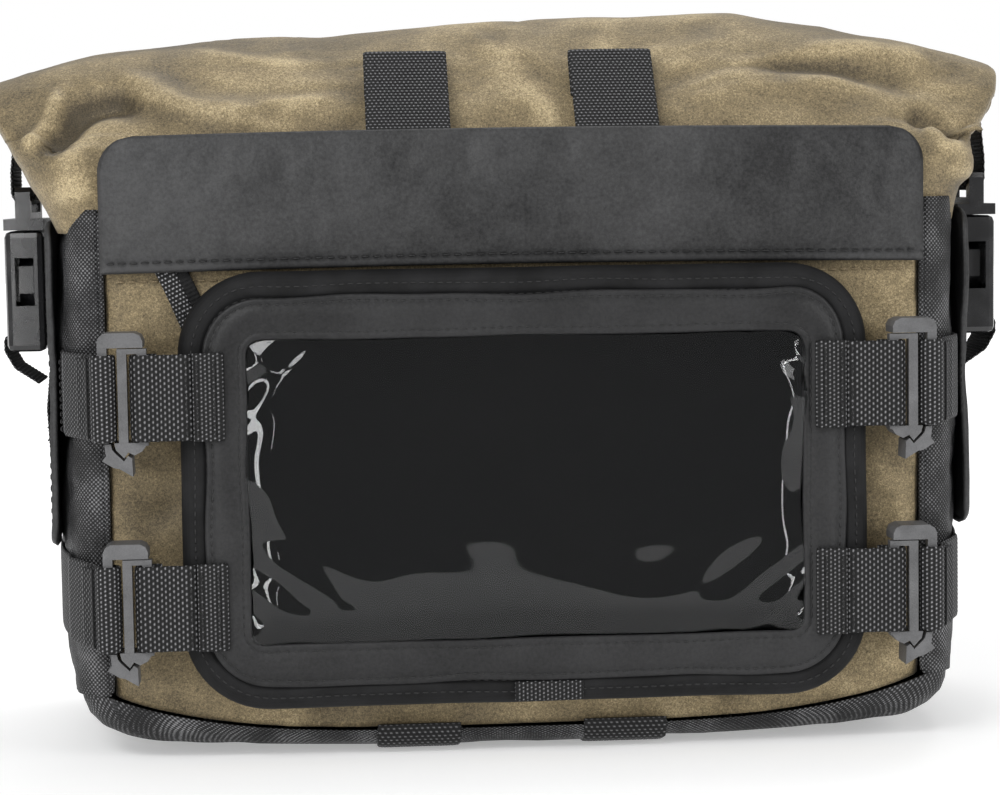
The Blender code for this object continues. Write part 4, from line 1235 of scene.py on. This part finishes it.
def make_window():
    """The clear vinyl, slack and drawn into long ripples towards its corners."""
    centre = PANE_CENTRE
    size = (PANE_SIZE[0] + 0.0050, PANE_SIZE[1] + 0.0050)
    grid = patch_grid(centre, size, 0.006, 170, 100)
    u = (grid[:, :, 0] - centre[0]) / (size[0] / 2)
    v = (grid[:, :, 1] - centre[1]) / (size[1] / 2)
    flat = grid.reshape(-1, 2)
    gap = np.maximum(edge_gap(flat, centre, size, 0.006), 0).reshape(u.shape)
    level = PANE_HIGH.y - 0.0001
    swell = 0.0034 * ease(gap / 0.013)
    ripples = np.zeros_like(u)
    for cu, cv, angle, seed in ((-1, 1, -38, 1), (1, 1, 38, 2), (-1, -1, 38, 3), (1, -1, -38, 4)):
        du, dv = (u - cu) * size[0] / 2, (v - cv) * size[1] / 2
        reach = np.hypot(du, dv)
        across = du * math.sin(math.radians(angle)) + dv * math.cos(math.radians(angle))
        near = np.exp(-((reach / 0.026) ** 2))
        ripples += near * np.sin(across / 0.0021 + 1.4 * np.sin(reach / 0.009 + seed)) * 0.00050
    run = grid[:, :, 0] / 0.0125
    ripples += 0.00030 * np.sin(run + 1.2 * np.sin(v * 2.2)) * np.exp(-((gap - 0.005) / 0.006) ** 2)
    wave = np.sin(grid[:, :, 1] / 0.0085 + 2.0 * np.sin(u * 1.7))
    ripples += 0.00055 * wave * np.exp(-((gap - 0.006) / 0.007) ** 2)
    rows = np.stack([grid[:, :, 0], level - (swell + ripples) * ease(gap / 0.0035), grid[:, :, 1]], axis=2)
    obj = grid_mesh("window", rows, VINYL)
    turn_to(obj, 1, -1)
    points = points_of(obj)
    rise = fractal(points * (1, 1, 1.3), 22, 61, 2).reshape(u.shape) * 0.0004 * ease(gap / 0.008)
    set_points(obj, points + np.array([0, -1.0, 0]) * rise.ravel()[:, None])
    thicken(obj, 0.0004)
    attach(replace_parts(obj, "pouch_window"), "pouch")


make_pouch()
make_window()


# Straps.

HOOKS = [f"{side}_{level}" for level in ("upper", "lower") for side in ("left", "right")]
STRAP_CLOTH = 0.0012
BEND = 0.0032


def sign_of(name):
    return -1 if name.startswith("left") else 1


def smooth_path(points, count=160, side=1):
    """The path with its corners eased, for webbing, which never bends sharply. Side -1 mirrors it."""
    line = evenly([(side * u, v) for u, v in points], count)
    for _ in range(3):
        line[1:-1] = (line[:-2] + 2 * line[1:-1] + line[2:]) / 4
    return line


def make_pouch_strap(hook):
    """The pouch's side of a hook buckle: webbing round the link's bar, folded back and sewn down."""
    side = sign_of(hook)
    low, high = box(f"pouch_strap_{hook}")
    outer = max(abs(low.x), abs(high.x))
    inner = min(abs(low.x), abs(high.x))
    bar_x = outer - BEND - STRAP_CLOTH / 2
    bar_y = low.y + BEND + STRAP_CLOTH / 2
    face = FRAME_LOW.y - 0.0012
    front = [(inner - 0.0040, face), (inner + 0.004, face - 0.0004), (bar_x - 0.012, face - 0.0014),
             (bar_x - 0.005, bar_y - BEND + 0.0008)]
    path = front + arc((bar_x, bar_y), BEND, 255, 450, 16) + [(bar_x - 0.004, bar_y + BEND + 0.0002)]
    line = smooth_path(path, side=side)
    middle = (low.z + high.z) / 2
    width = high.z - low.z
    strap = webbing(f"pouch_webbing_{hook}", place(line, "XY", middle), UP, width, STRAP_CLOTH)
    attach(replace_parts(strap, f"pouch_strap_{hook}"), "pouch")
    # The folded end lies on the strap, with its raw edge turned under and two rows of stitches.
    end = inner - 0.0040
    fold = [(end + 0.0004, face + 0.0004), (end - 0.0006, face - 0.0003), (end, face - 0.0013),
            (end + 0.003, face - 0.00150), (end + 0.0080, face - 0.0017)]
    patch_line = smooth_path(fold, 60, side)
    patch = webbing(f"pouch_webbing_end_{hook}", place(patch_line, "XY", middle), UP, width + 0.0006,
                    0.0011, dash=0.00125)
    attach(patch, "pouch")
    rows = []
    for x, depth in ((end + 0.0018, face - 0.00215), (end + 0.0068, face - 0.00235),
                     (end + 0.0098, face - 0.0017)):
        rows.append(stitch_row((side * x, depth, low.z + 0.0012), (side * x, depth, high.z - 0.0012),
                               FORWARD))
    thread = seam(f"pouch_webbing_stitches_{hook}", rows, BLACK_THREAD, STRAP_PITCH, radius=0.00026)
    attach(thread, "pouch")


def make_side_strap(hook):
    """The bag's side of a hook buckle: webbing that comes round the bag's side to the frame's bar."""
    side = sign_of(hook)
    low, high = box(f"side_strap_{hook}")
    frame_low, frame_high = box(f"hook_frame_{hook}")
    frame_outer = max(abs(frame_low.x), abs(frame_high.x))
    bar = (frame_outer - 0.00135, frame_low.y + 0.0018)
    back = high.y
    middle = (low.z + high.z) / 2
    path = []
    for y in np.linspace(back, FRONT_Y + 0.012, 24):
        path.append((SIDE_X + side_swell(y, middle) + 0.0010, y))
    path += [(SIDE_X + 0.0008, FRONT_Y + 0.0055), (SIDE_X - 0.0022, FRONT_Y - 0.0010),
             (SIDE_X - 0.0060, FRONT_Y - 0.0082), (bar[0] + BEND + 0.0010, bar[1] + 0.0050)]
    path += arc(bar, BEND, -10, -270, 18) + [(bar[0] + 0.0018, bar[1] + BEND + 0.0004)]
    line = smooth_path(path, 320, side)
    width = high.z - low.z
    strap = webbing(
        f"side_webbing_{hook}", place(line, "XY", middle), UP, width, STRAP_CLOTH, LIT_SIDE_WEB,
        dash=0.0013, relief=0.00016,
    )
    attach(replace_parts(strap, f"side_strap_{hook}"), "root")
    # The doubled plies beside the bar.
    for number, offset in enumerate((0.0011, 0.0022)):
        edge = [(SIDE_X - 0.0062 + offset * 0.9, FRONT_Y - 0.0075 - offset),
                (bar[0] + BEND + 0.0008 + offset * 0.6, bar[1] + 0.0048 - offset),
                (bar[0] + BEND + 0.0002 + offset * 0.5, bar[1] + 0.0006)]
        line = place(evenly([(side * x, y) for x, y in edge], 24), "XY", middle)
        narrower = width - 0.0008 * (number + 1)
        flap = webbing(f"side_webbing_ply_{number + 1}_{hook}", line, UP, narrower, 0.0009)
        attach(flap, "root")
    rows = []
    for y in (back - 0.003, back - 0.011):
        x = side * (SIDE_X + side_swell(y, middle) + 0.0018)
        rows.append(stitch_row((x, y, low.z + 0.0015), (x, y, high.z - 0.0015), (side, 0, 0)))
    thread = seam(f"side_webbing_stitches_{hook}", rows, BLACK_THREAD, STRAP_PITCH)
    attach(thread, "root")


def make_top_loop(name):
    low, high = box(f"{name}_top_loop")
    middle = (low.x + high.x) / 2
    width = high.x - low.x
    along = Vector((0.571, 0.821))
    start = Vector((FRONT_Y - 0.0014, low.z + 0.0003))
    top = start + along * 0.031 + Vector((0.0035, 0.0046))
    centre = (top.x + 0.0013 * along.y, top.y - 0.0013 * along.x)
    path = [tuple(start), (start.x + 0.0012, start.y + 0.0068), *arc(centre, 0.0013, 145, -35, 8)]
    path.append((path[-1][0] - 0.014 * along.x, path[-1][1] - 0.014 * along.y))
    line = smooth_path(path, 200)
    strap = webbing(f"{name}_grab_loop", place(line, "YZ", middle), (1, 0, 0), width, 0.0014, dash=0.0013)
    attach(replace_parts(strap, f"{name}_top_loop"), "root")
    out = (0.0, -along.y, along.x)
    rows = []
    for reach in (0.0050, 0.0068):
        spot = top - along * reach + Vector(out[1:]) * 0.00085
        rows.append(stitch_row((low.x + 0.0015, *spot), (high.x - 0.0015, *spot), out))
    thread = seam(f"{name}_grab_loop_stitches", rows, BLACK_THREAD, STRAP_PITCH)
    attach(thread, "root")


def make_back_strap(name):
    low, high = box(f"{name}_back_strap")
    middle = (low.x + high.x) / 2
    width = high.x - low.x
    back, front = BACK_Y + 0.0011, FRONT_Y - 0.0011
    path = [
        (back, high.z), (back, 0.0021), (back - 0.0020, -0.0012), (back - 0.0109, -0.00365),
        (front + 0.0109, -0.00365), (front + 0.0020, -0.0012), (front, 0.0021), (front, 0.0050),
    ]
    line = evenly(path, 500)
    line[2:-2] = (line[:-4] + line[1:-3] + line[2:-2] + line[3:-1] + line[4:]) / 5
    strap = webbing(f"{name}_harness_strap", place(line, "YZ", middle), (1, 0, 0), width, 0.0014,
                    step=RIB / 2)
    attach(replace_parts(strap, f"{name}_back_strap"), "root")
    rows = []
    for z in (0.020, 0.0245, 0.078, 0.0825, 0.1405, 0.145):
        y = back + 0.00085
        rows.append(stitch_row((low.x + 0.0015, y, z), (high.x - 0.0015, y, z), (0, 1, 0)))
    thread = seam(f"{name}_harness_stitches", rows, BLACK_THREAD, STRAP_PITCH)
    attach(thread, "root")


for hook_name in HOOKS:
    make_pouch_strap(hook_name)
    make_side_strap(hook_name)
for side_name in ("left", "right"):
    make_top_loop(side_name)
    make_back_strap(side_name)


# The foot: a shallow tray of coarse nylon under the walls.


def make_foot():
    inner_x = SIDE_X - 0.028
    # Half width, how far in from the front and back, corner, height as a share of the rim's, and drop.
    levels = (
        (SIDE_X - 0.0012, 0.0002, 0.0110, 1.00, 0.0006), (SIDE_X - 0.0016, 0.0000, 0.0110, 0.80, 0.0004),
        (SIDE_X - 0.0030, 0.0000, 0.0115, 0.52, 0.0003), (SIDE_X - 0.0064, 0.0007, 0.0125, 0.24, 0.0002),
        (SIDE_X - 0.0110, 0.0025, 0.0140, 0.06, 0.0000), (SIDE_X - 0.0180, 0.0060, 0.0120, 0.00, 0.0000),
        (inner_x, 0.0110, 0.0090, 0.00, 0.0001), (inner_x - 0.030, 0.0300, 0.0060, 0.00, 0.0004),
        (inner_x - 0.070, 0.0480, 0.0040, 0.00, 0.0006),
    )
    table = np.array(levels)
    bottom = -0.0024
    rows = []
    for spot in np.linspace(0, len(levels) - 1, 40):
        values = (np.interp(spot, range(len(levels)), column) for column in table.T)
        half_x, inset, corner, share, lift = values
        loop = plan_loop(half_x, FRONT_Y + inset, BACK_Y - inset, corner, 90, 40, 10)
        low = bottom + 0.0040 * np.minimum(1.0, np.abs(loop[:, 0]) / 0.122) ** 2
        rim = rim_z(loop[:, 0])
        z = low + lift + (rim - low) * share
        rows.append(np.stack([loop[:, 0], loop[:, 1], z], axis=1))
    obj = grid_mesh("foot", rows, NYLON, loop_columns=True)
    mend(obj.data, closed_below=0.001)
    obj.data.shade_smooth()
    points = points_of(obj)
    normals = normals_of(obj)
    if (normals[:, 2] * (points[:, 2] < 0)).sum() > 0:
        obj.data.flip_normals()
        normals = -normals
    dents = fractal(points, 30, 71, 2) * 0.0007 + fractal(points, 85, 72, 2) * 0.0003
    dents *= ease((rim_z(points[:, 0]) - points[:, 2]) / 0.004)
    dents = np.where((points[:, 2] < 0.0) & (normals[:, 2] < -0.5), np.minimum(dents, 0), dents)
    set_points(obj, points + normals * dents[:, None])
    thicken(obj, 0.0013)
    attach(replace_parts(obj, "bottom_panel"), "root")


def make_back():
    """The padded back: coarse nylon over foam, sewn round its edge and beside the harness straps."""
    half = PANEL_HIGH.x
    quilt_x = 0.0525
    inset = 0.0070
    rows = []
    spans = np.linspace(-1, 1, 170)
    for share in np.linspace(0, 1, 100):
        x = spans * half
        low = rim_z(x) + 0.0010
        rows.append(np.stack([x, 0 * x + BACK_Y - 0.0003, low + (SIDE_TOP_Z - low) * share], axis=1))
    obj = grid_mesh("padded_back", rows, NYLON)
    turn_to(obj, 1, 1)
    points = points_of(obj)
    x, z = points[:, 0], points[:, 2]
    edge = np.minimum.reduce([half - np.abs(x), SIDE_TOP_Z - z, z - rim_z(x)])
    strap = np.exp(-(((np.abs(x) - 0.031) / 0.017) ** 6))
    beside = np.exp(-(((np.abs(x) - quilt_x) / 0.0012) ** 2)) * ease((edge - 0.005) / 0.004)
    seams = np.maximum(np.exp(-(((edge - inset) / 0.0011) ** 2)), beside)
    held = np.where((seams > 0.5) | (strap > 0.3) | (edge < 0.006), 1.0, 0.0)
    swell = 0.0010 * ease(np.abs(edge - inset) / 0.006) * ease(np.abs(np.abs(x) - quilt_x) / 0.007)
    swell = swell * (1 - strap) + fractal(points, 32, 81, 2) * 0.0005 * (1 - strap)
    points[:, 1] += swell - 0.0011 * seams
    set_points(obj, points)
    settle(obj, held, grow=0.006, push=0.5, limit=0.0012, frames=14, bend=4.0)
    thicken(obj, 0.0012)
    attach(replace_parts(obj, "back_panel"), "root")
    across = np.linspace(-half + inset, half - inset, 90)
    foot = np.stack([across, 0 * across, rim_z(across) + 0.0010 + inset], axis=1)
    up = [(x, 0.0, z) for x, z in ((half - inset, SIDE_TOP_Z - inset), (inset - half, SIDE_TOP_Z - inset))]
    rows = [np.vstack((foot, up, foot[:1])) + (0, BACK_Y - 0.0012, 0)]
    for x in (-quilt_x, quilt_x):
        rows.append([(x, BACK_Y - 0.0012, 0.0200), (x, BACK_Y - 0.0012, SIDE_TOP_Z - 0.008)])
    thread = seam("back_stitches", [(row, (0, 1, 0)) for row in rows], BLACK_THREAD)
    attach(thread, "root")


make_foot()
make_back()


# The side-release buckles' webbing, the zip and the pouch's small pieces.


def make_buckle_straps(name, side):
    low, high = box(f"{name}_buckle_female")
    middle_x = (abs(low.x) + abs(high.x)) / 2
    foot_z = low.z
    strap_low, strap_high = box(f"{name}_buckle_strap")
    middle_y = (strap_low.y + strap_high.y) / 2
    width = strap_high.y - strap_low.y
    through_z = foot_z + 0.0048
    reach = 0.0071
    sewn_x = SIDE_X + side_swell(middle_y, 0.092) + 0.0022
    path = [
        (middle_x - 0.0030, foot_z - 0.0100), (middle_x + 0.0042, foot_z - 0.0052),
        (middle_x + reach, foot_z), (middle_x + reach, through_z - 0.0012),
        (middle_x + reach - 0.0012, through_z), (middle_x - reach + 0.0012, through_z),
        (middle_x - reach, through_z - 0.0012), (middle_x - reach, foot_z - 0.0010),
        (sewn_x + 0.0006, 0.0985), (sewn_x, 0.0860),
    ]
    line = smooth_path(path, 260, side)
    strap = webbing(f"{name}_buckle_webbing", place(line, "XZ", middle_y), (0, 1, 0), width, 0.0011)
    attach(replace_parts(strap, f"{name}_buckle_strap"), "root")
    x = side * (sewn_x + 0.0007)
    half = width / 2 - 0.0012
    rows = []
    for z in (0.0885, 0.0925):
        rows.append(stitch_row((x, middle_y - half, z), (x, middle_y + half, z), (side, 0, 0)))
    thread = seam(f"{name}_buckle_webbing_stitches", rows, BLACK_THREAD, STRAP_PITCH)
    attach(thread, "root")
    # The roll's side of the buckle.
    male_z = foot_z + 0.0490
    bend = 0.0036
    strap_low, strap_high = box(f"{name}_roll_strap")
    path = [(middle_x + bend - 0.0012, strap_high.z + 0.0020), (middle_x + bend, male_z + 0.006)]
    path += arc((middle_x, male_z), bend, 0, -180, 14)
    path += [(middle_x - bend, male_z + 0.0075), (middle_x - bend + 0.0030, strap_high.z - 0.0040)]
    line = smooth_path(path, 200, side)
    strap = webbing(f"{name}_roll_webbing", place(line, "XZ", middle_y), (0, 1, 0), width, 0.0011)
    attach(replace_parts(strap, f"{name}_roll_strap"), "roll")


def make_zip_details():
    tape_low, tape_high = box("zip_tape")
    y = tape_low.y
    middle = (tape_low.z + tape_high.z) / 2 - 0.0005
    x = np.linspace(tape_low.x, tape_high.x, 220)
    rows = []
    for z in np.linspace(tape_low.z, tape_high.z, 24):
        ripple = 0.00012 * np.sin(x / 0.0016) * (abs(z - middle) > 0.0012)
        rows.append(np.stack([x, y + 0.0002 + ripple, 0 * x + z], axis=1))
    tape = grid_mesh("zip_tape_cloth", rows, BINDING)
    thicken(tape, 0.0005, 1.0)
    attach(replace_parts(tape, "zip_tape"), "root")
    teeth = []
    for index, start in enumerate(np.arange(tape_low.x + 0.002, tape_high.x - 0.002, 0.00135)):
        level = middle + (0.0006 if index % 2 else -0.0006)
        ends = ((start, y - 0.0003, level - 0.0013), (start, y - 0.0003, level + 0.0013))
        teeth.append(bead(*ends, FORWARD, 0.00046))
    coil = join_meshes("zip_coil", teeth, ZIP)
    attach(coil, "root")


def make_puller():
    """The zip's puller: two woven cords beside a dark tape, tucked down behind the pouch's corner."""
    low, high = box("zip_puller")
    lean = math.radians(25)
    down = np.array([math.sin(lean), 0.0, -math.cos(lean)])
    aside = np.array([math.cos(lean), 0.0, math.sin(lean)])
    slider_low, slider_high = box("zip_slider")
    start = np.array([(slider_low.x + slider_high.x) / 2, (low.y + high.y) / 2, high.z])
    for number, offset in enumerate((-0.0028, 0.0001)):
        run = np.linspace(0.0036, 0.0234 - 0.0012 * number, 90)
        sway = 0.00030 * np.sin(run / 0.0060 + 2.0 * number)
        line = start + down * run[:, None] + aside * (offset + sway)[:, None] + np.array([0, -0.00025, 0])
        cord = webbing(
            f"puller_cord_{number + 1}", line, aside, 0.0030, 0.0011, CORD, 0.0002, 0.00014, 0.00105
        )
        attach(cord, "zip_puller")
    run = np.linspace(0.0042, 0.0238, 40)[:, None]
    path = start + down * run + aside * 0.0026 + np.array([0, -0.0001, 0])
    tape = webbing("puller_tape", path, aside, 0.0046, 0.0008, material=BINDING, step=0.0003)
    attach(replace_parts(tape, "zip_puller"), "zip_puller")


def make_pouch_details():
    low, high = box("pouch_tab")
    path = [(low.x + 0.0006, high.y - 0.0002), (low.x - 0.0002, high.y - 0.0010),
            (low.x + 0.0012, low.y + 0.0002), (high.x - 0.004, low.y), (high.x, low.y + 0.0004)]
    line = smooth_path(path, 60)
    line = place(line, "XY", (low.z + high.z) / 2)
    tab = webbing("pouch_tab_webbing", line, UP, high.z - low.z, 0.0008, dash=0.0012)
    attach(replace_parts(tab, "pouch_tab"), "pouch")
    low, high = box("pouch_back")
    centre, size = front_of(low, high)
    corner = BAND_CORNER - 0.0015
    grid = patch_grid(centre, size, corner, 120, 80)
    gap = np.maximum(edge_gap(grid.reshape(-1, 2), centre, size, corner), 0).reshape(grid.shape[:2])
    rows = np.stack([grid[:, :, 0], high.y - 0.0001 + 0 * gap, grid[:, :, 1]], axis=2)
    back = grid_mesh("pouch_backing", rows, LINING)
    turn_to(back, 1, 1)
    points = points_of(back)
    points[:, 1] -= (0.0003 + fractal(points, 30, 91, 2) * 0.0004) * ease(gap.ravel() / 0.010)
    set_points(back, points)
    thicken(back, 0.0008)
    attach(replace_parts(back, "pouch_back"), "pouch")


def make_liner():
    """The coated cloth that lines the main compartment, slack against the walls."""
    low, high = box("main_liner")
    top = high.z - 0.0090
    levels = ((low.z + 0.0004, 0.020, 0.008), (low.z + 0.0100, 0.005, 0.010), (top, 0.0030, 0.012))
    table = np.array(levels)
    rows = []
    for z in np.linspace(low.z + 0.0004, top, 40):
        inset, corner = (np.interp(z, table[:, 0], table[:, k]) for k in (1, 2))
        loop = plan_loop(high.x - inset, low.y + 0.0004, high.y - 0.0004, corner)
        rows.append(np.stack([loop[:, 0], loop[:, 1], 0 * loop[:, 0] + z], axis=1))
    obj = grid_mesh("slack_liner", rows, LINER, loop_columns=True)
    mend(obj.data, closed_below=low.z + 0.002)
    obj.data.shade_smooth()
    points = points_of(obj)
    normals = normals_of(obj)
    inward = -(0.0005 + fractal(points, 40, 95, 2) * 0.0006) * ease((points[:, 2] - low.z) / 0.02)
    out = np.sign((normals[:, :2] * points[:, :2]).sum(axis=1).mean())
    set_points(obj, points + normals * (out * np.minimum(inward, 0))[:, None])
    thicken(obj, 0.0008, -out)
    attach(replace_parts(obj, "main_liner"), "root")


for side_name, side_sign in SIDES:
    make_buckle_straps(side_name, side_sign)
make_zip_details()
make_puller()
make_pouch_details()
make_liner()


# Hardware: the moulded pieces keep the fixed model's solids, with their edges broken.


def repaint(node, material, edge=0.0):
    """Gives a node of the fixed model its material, and rounds its edges by the given width."""
    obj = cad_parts[node]
    obj.data.materials.clear()
    obj.data.materials.append(material)
    if edge:
        edges = obj.modifiers.new("broken_edges", "BEVEL")
        edges.width = edge
        edges.segments = 3
        edges.limit_method = "ANGLE"
        edges.angle_limit = math.radians(28)
        edges.harden_normals = False


for hook_name in HOOKS:
    for part, edge in (("frame", 0.00042), ("link", 0.00032), ("latch", 0.00036)):
        repaint(f"hook_{part}_{hook_name}", HOOK, edge)
for side_name, side_sign in SIDES:
    for part, edge in (("buckle_female", 0.0006), ("buckle_male", 0.0006), ("prong_front", 0.0005),
                       ("prong_back", 0.0005)):
        repaint(f"{side_name}_{part}", GLOSS, edge)
repaint("zip_slider", ZIP, 0.0004)
repaint("front_wall", LINER)
for node_name in ("bottom_board", "back_foam", "yoke_foam"):
    repaint(node_name, FOAM)
repaint("roll_stiffener", HOOK)


# The stage: a pale floor, soft lights and the camera.


def light(name, place, target, size, power, colour=(1.0, 1.0, 1.0)):
    data = bpy.data.lights.new(name, "AREA")
    data.shape = "RECTANGLE"
    data.size, data.size_y = size
    data.energy = power
    data.color = colour
    obj = bpy.data.objects.new(name, data)
    obj.location = place
    obj.rotation_euler = (Vector(target) - Vector(place)).to_track_quat("-Z", "Y").to_euler()
    bpy.context.scene.collection.objects.link(obj)


def make_stage():
    reach, front = 4.0, -0.42
    corners = [(x, y, 0.0) for x, y in ((-reach, front), (reach, front), (reach, reach), (-reach, reach))]
    mesh = bpy.data.meshes.new("floor")
    mesh.from_pydata(corners, [], [(0, 1, 2, 3)])
    paper = Nodes("floor_paper", 0.9)
    paper.colour(paper.ramp(paper.noise(3.0), (0.0, 0.86), (1.0, 0.89)))
    paper.shader.inputs["Emission Color"].default_value = (1.0, 1.0, 1.0, 1.0)
    # The floor glows more the further it is from the bag, as a lit background would.
    away = paper.add("ShaderNodeVectorMath", {0: paper.place}, operation="LENGTH").outputs["Value"]
    fade = {"Value": away, "From Min": 0.22, "From Max": 1.30, "To Min": 0.34, "To Max": 0.92}
    glow = paper.add("ShaderNodeMapRange", fade)
    paper.tree.links.new(glow.outputs[0], paper.shader.inputs["Emission Strength"])
    floor = new_object("floor", mesh, paper.material)
    floor.location = (0, 0, 0)
    world = bpy.data.worlds.new("studio")
    bpy.context.scene.world = world
    world.use_nodes = True
    sky = world.node_tree.nodes["Background"]
    sky.inputs["Color"].default_value = (1.0, 1.0, 1.0, 1.0)
    rays = world.node_tree.nodes.new("ShaderNodeLightPath")
    strength = world.node_tree.nodes.new("ShaderNodeMapRange")
    strength.inputs["To Min"].default_value = 0.38
    strength.inputs["To Max"].default_value = 1.0
    world.node_tree.links.new(rays.outputs["Is Camera Ray"], strength.inputs["Value"])
    world.node_tree.links.new(strength.outputs[0], sky.inputs["Strength"])
    middle = (0.0, 0.0, 0.10)
    light("key", (-0.55, -1.00, 0.95), middle, (0.55, 0.40), 7.2)
    light("fill", (0.80, -0.80, 0.55), middle, (0.45, 0.60), 3.2)
    light("crest", (0.10, 0.35, 1.10), middle, (0.90, 0.50), 4.6)
    light("left_strip", (-0.82, -0.98, 0.22), middle, (0.10, 0.80), 3.4)
    light("right_strip", (0.84, -0.96, 0.22), middle, (0.07, 0.80), 2.2)
    light("window_strip", (-0.30, -1.12, 0.30), middle, (0.04, 0.60), 0.9)


def make_camera():
    target = Vector((-0.0066, -0.066, 0.1085))
    distance = 0.750
    data = bpy.data.cameras.new("camera")
    data.sensor_width = 36.0
    data.lens = 93.5
    data.clip_start = 0.02
    obj = bpy.data.objects.new("camera", data)
    turn = math.radians(-4.0)
    obj.location = target + Vector((math.sin(turn) * distance, -math.cos(turn) * distance, 0.062))
    facing = (target - obj.location).to_track_quat("-Z", "Y").to_matrix().to_4x4()
    roll = Matrix.Rotation(math.radians(-0.9), 4, "Z")
    obj.matrix_world = Matrix.Translation(obj.location) @ facing @ roll
    bpy.context.scene.collection.objects.link(obj)
    bpy.context.scene.camera = obj


make_stage()
make_camera()
bpy.context.scene.view_settings.view_transform = "Standard"
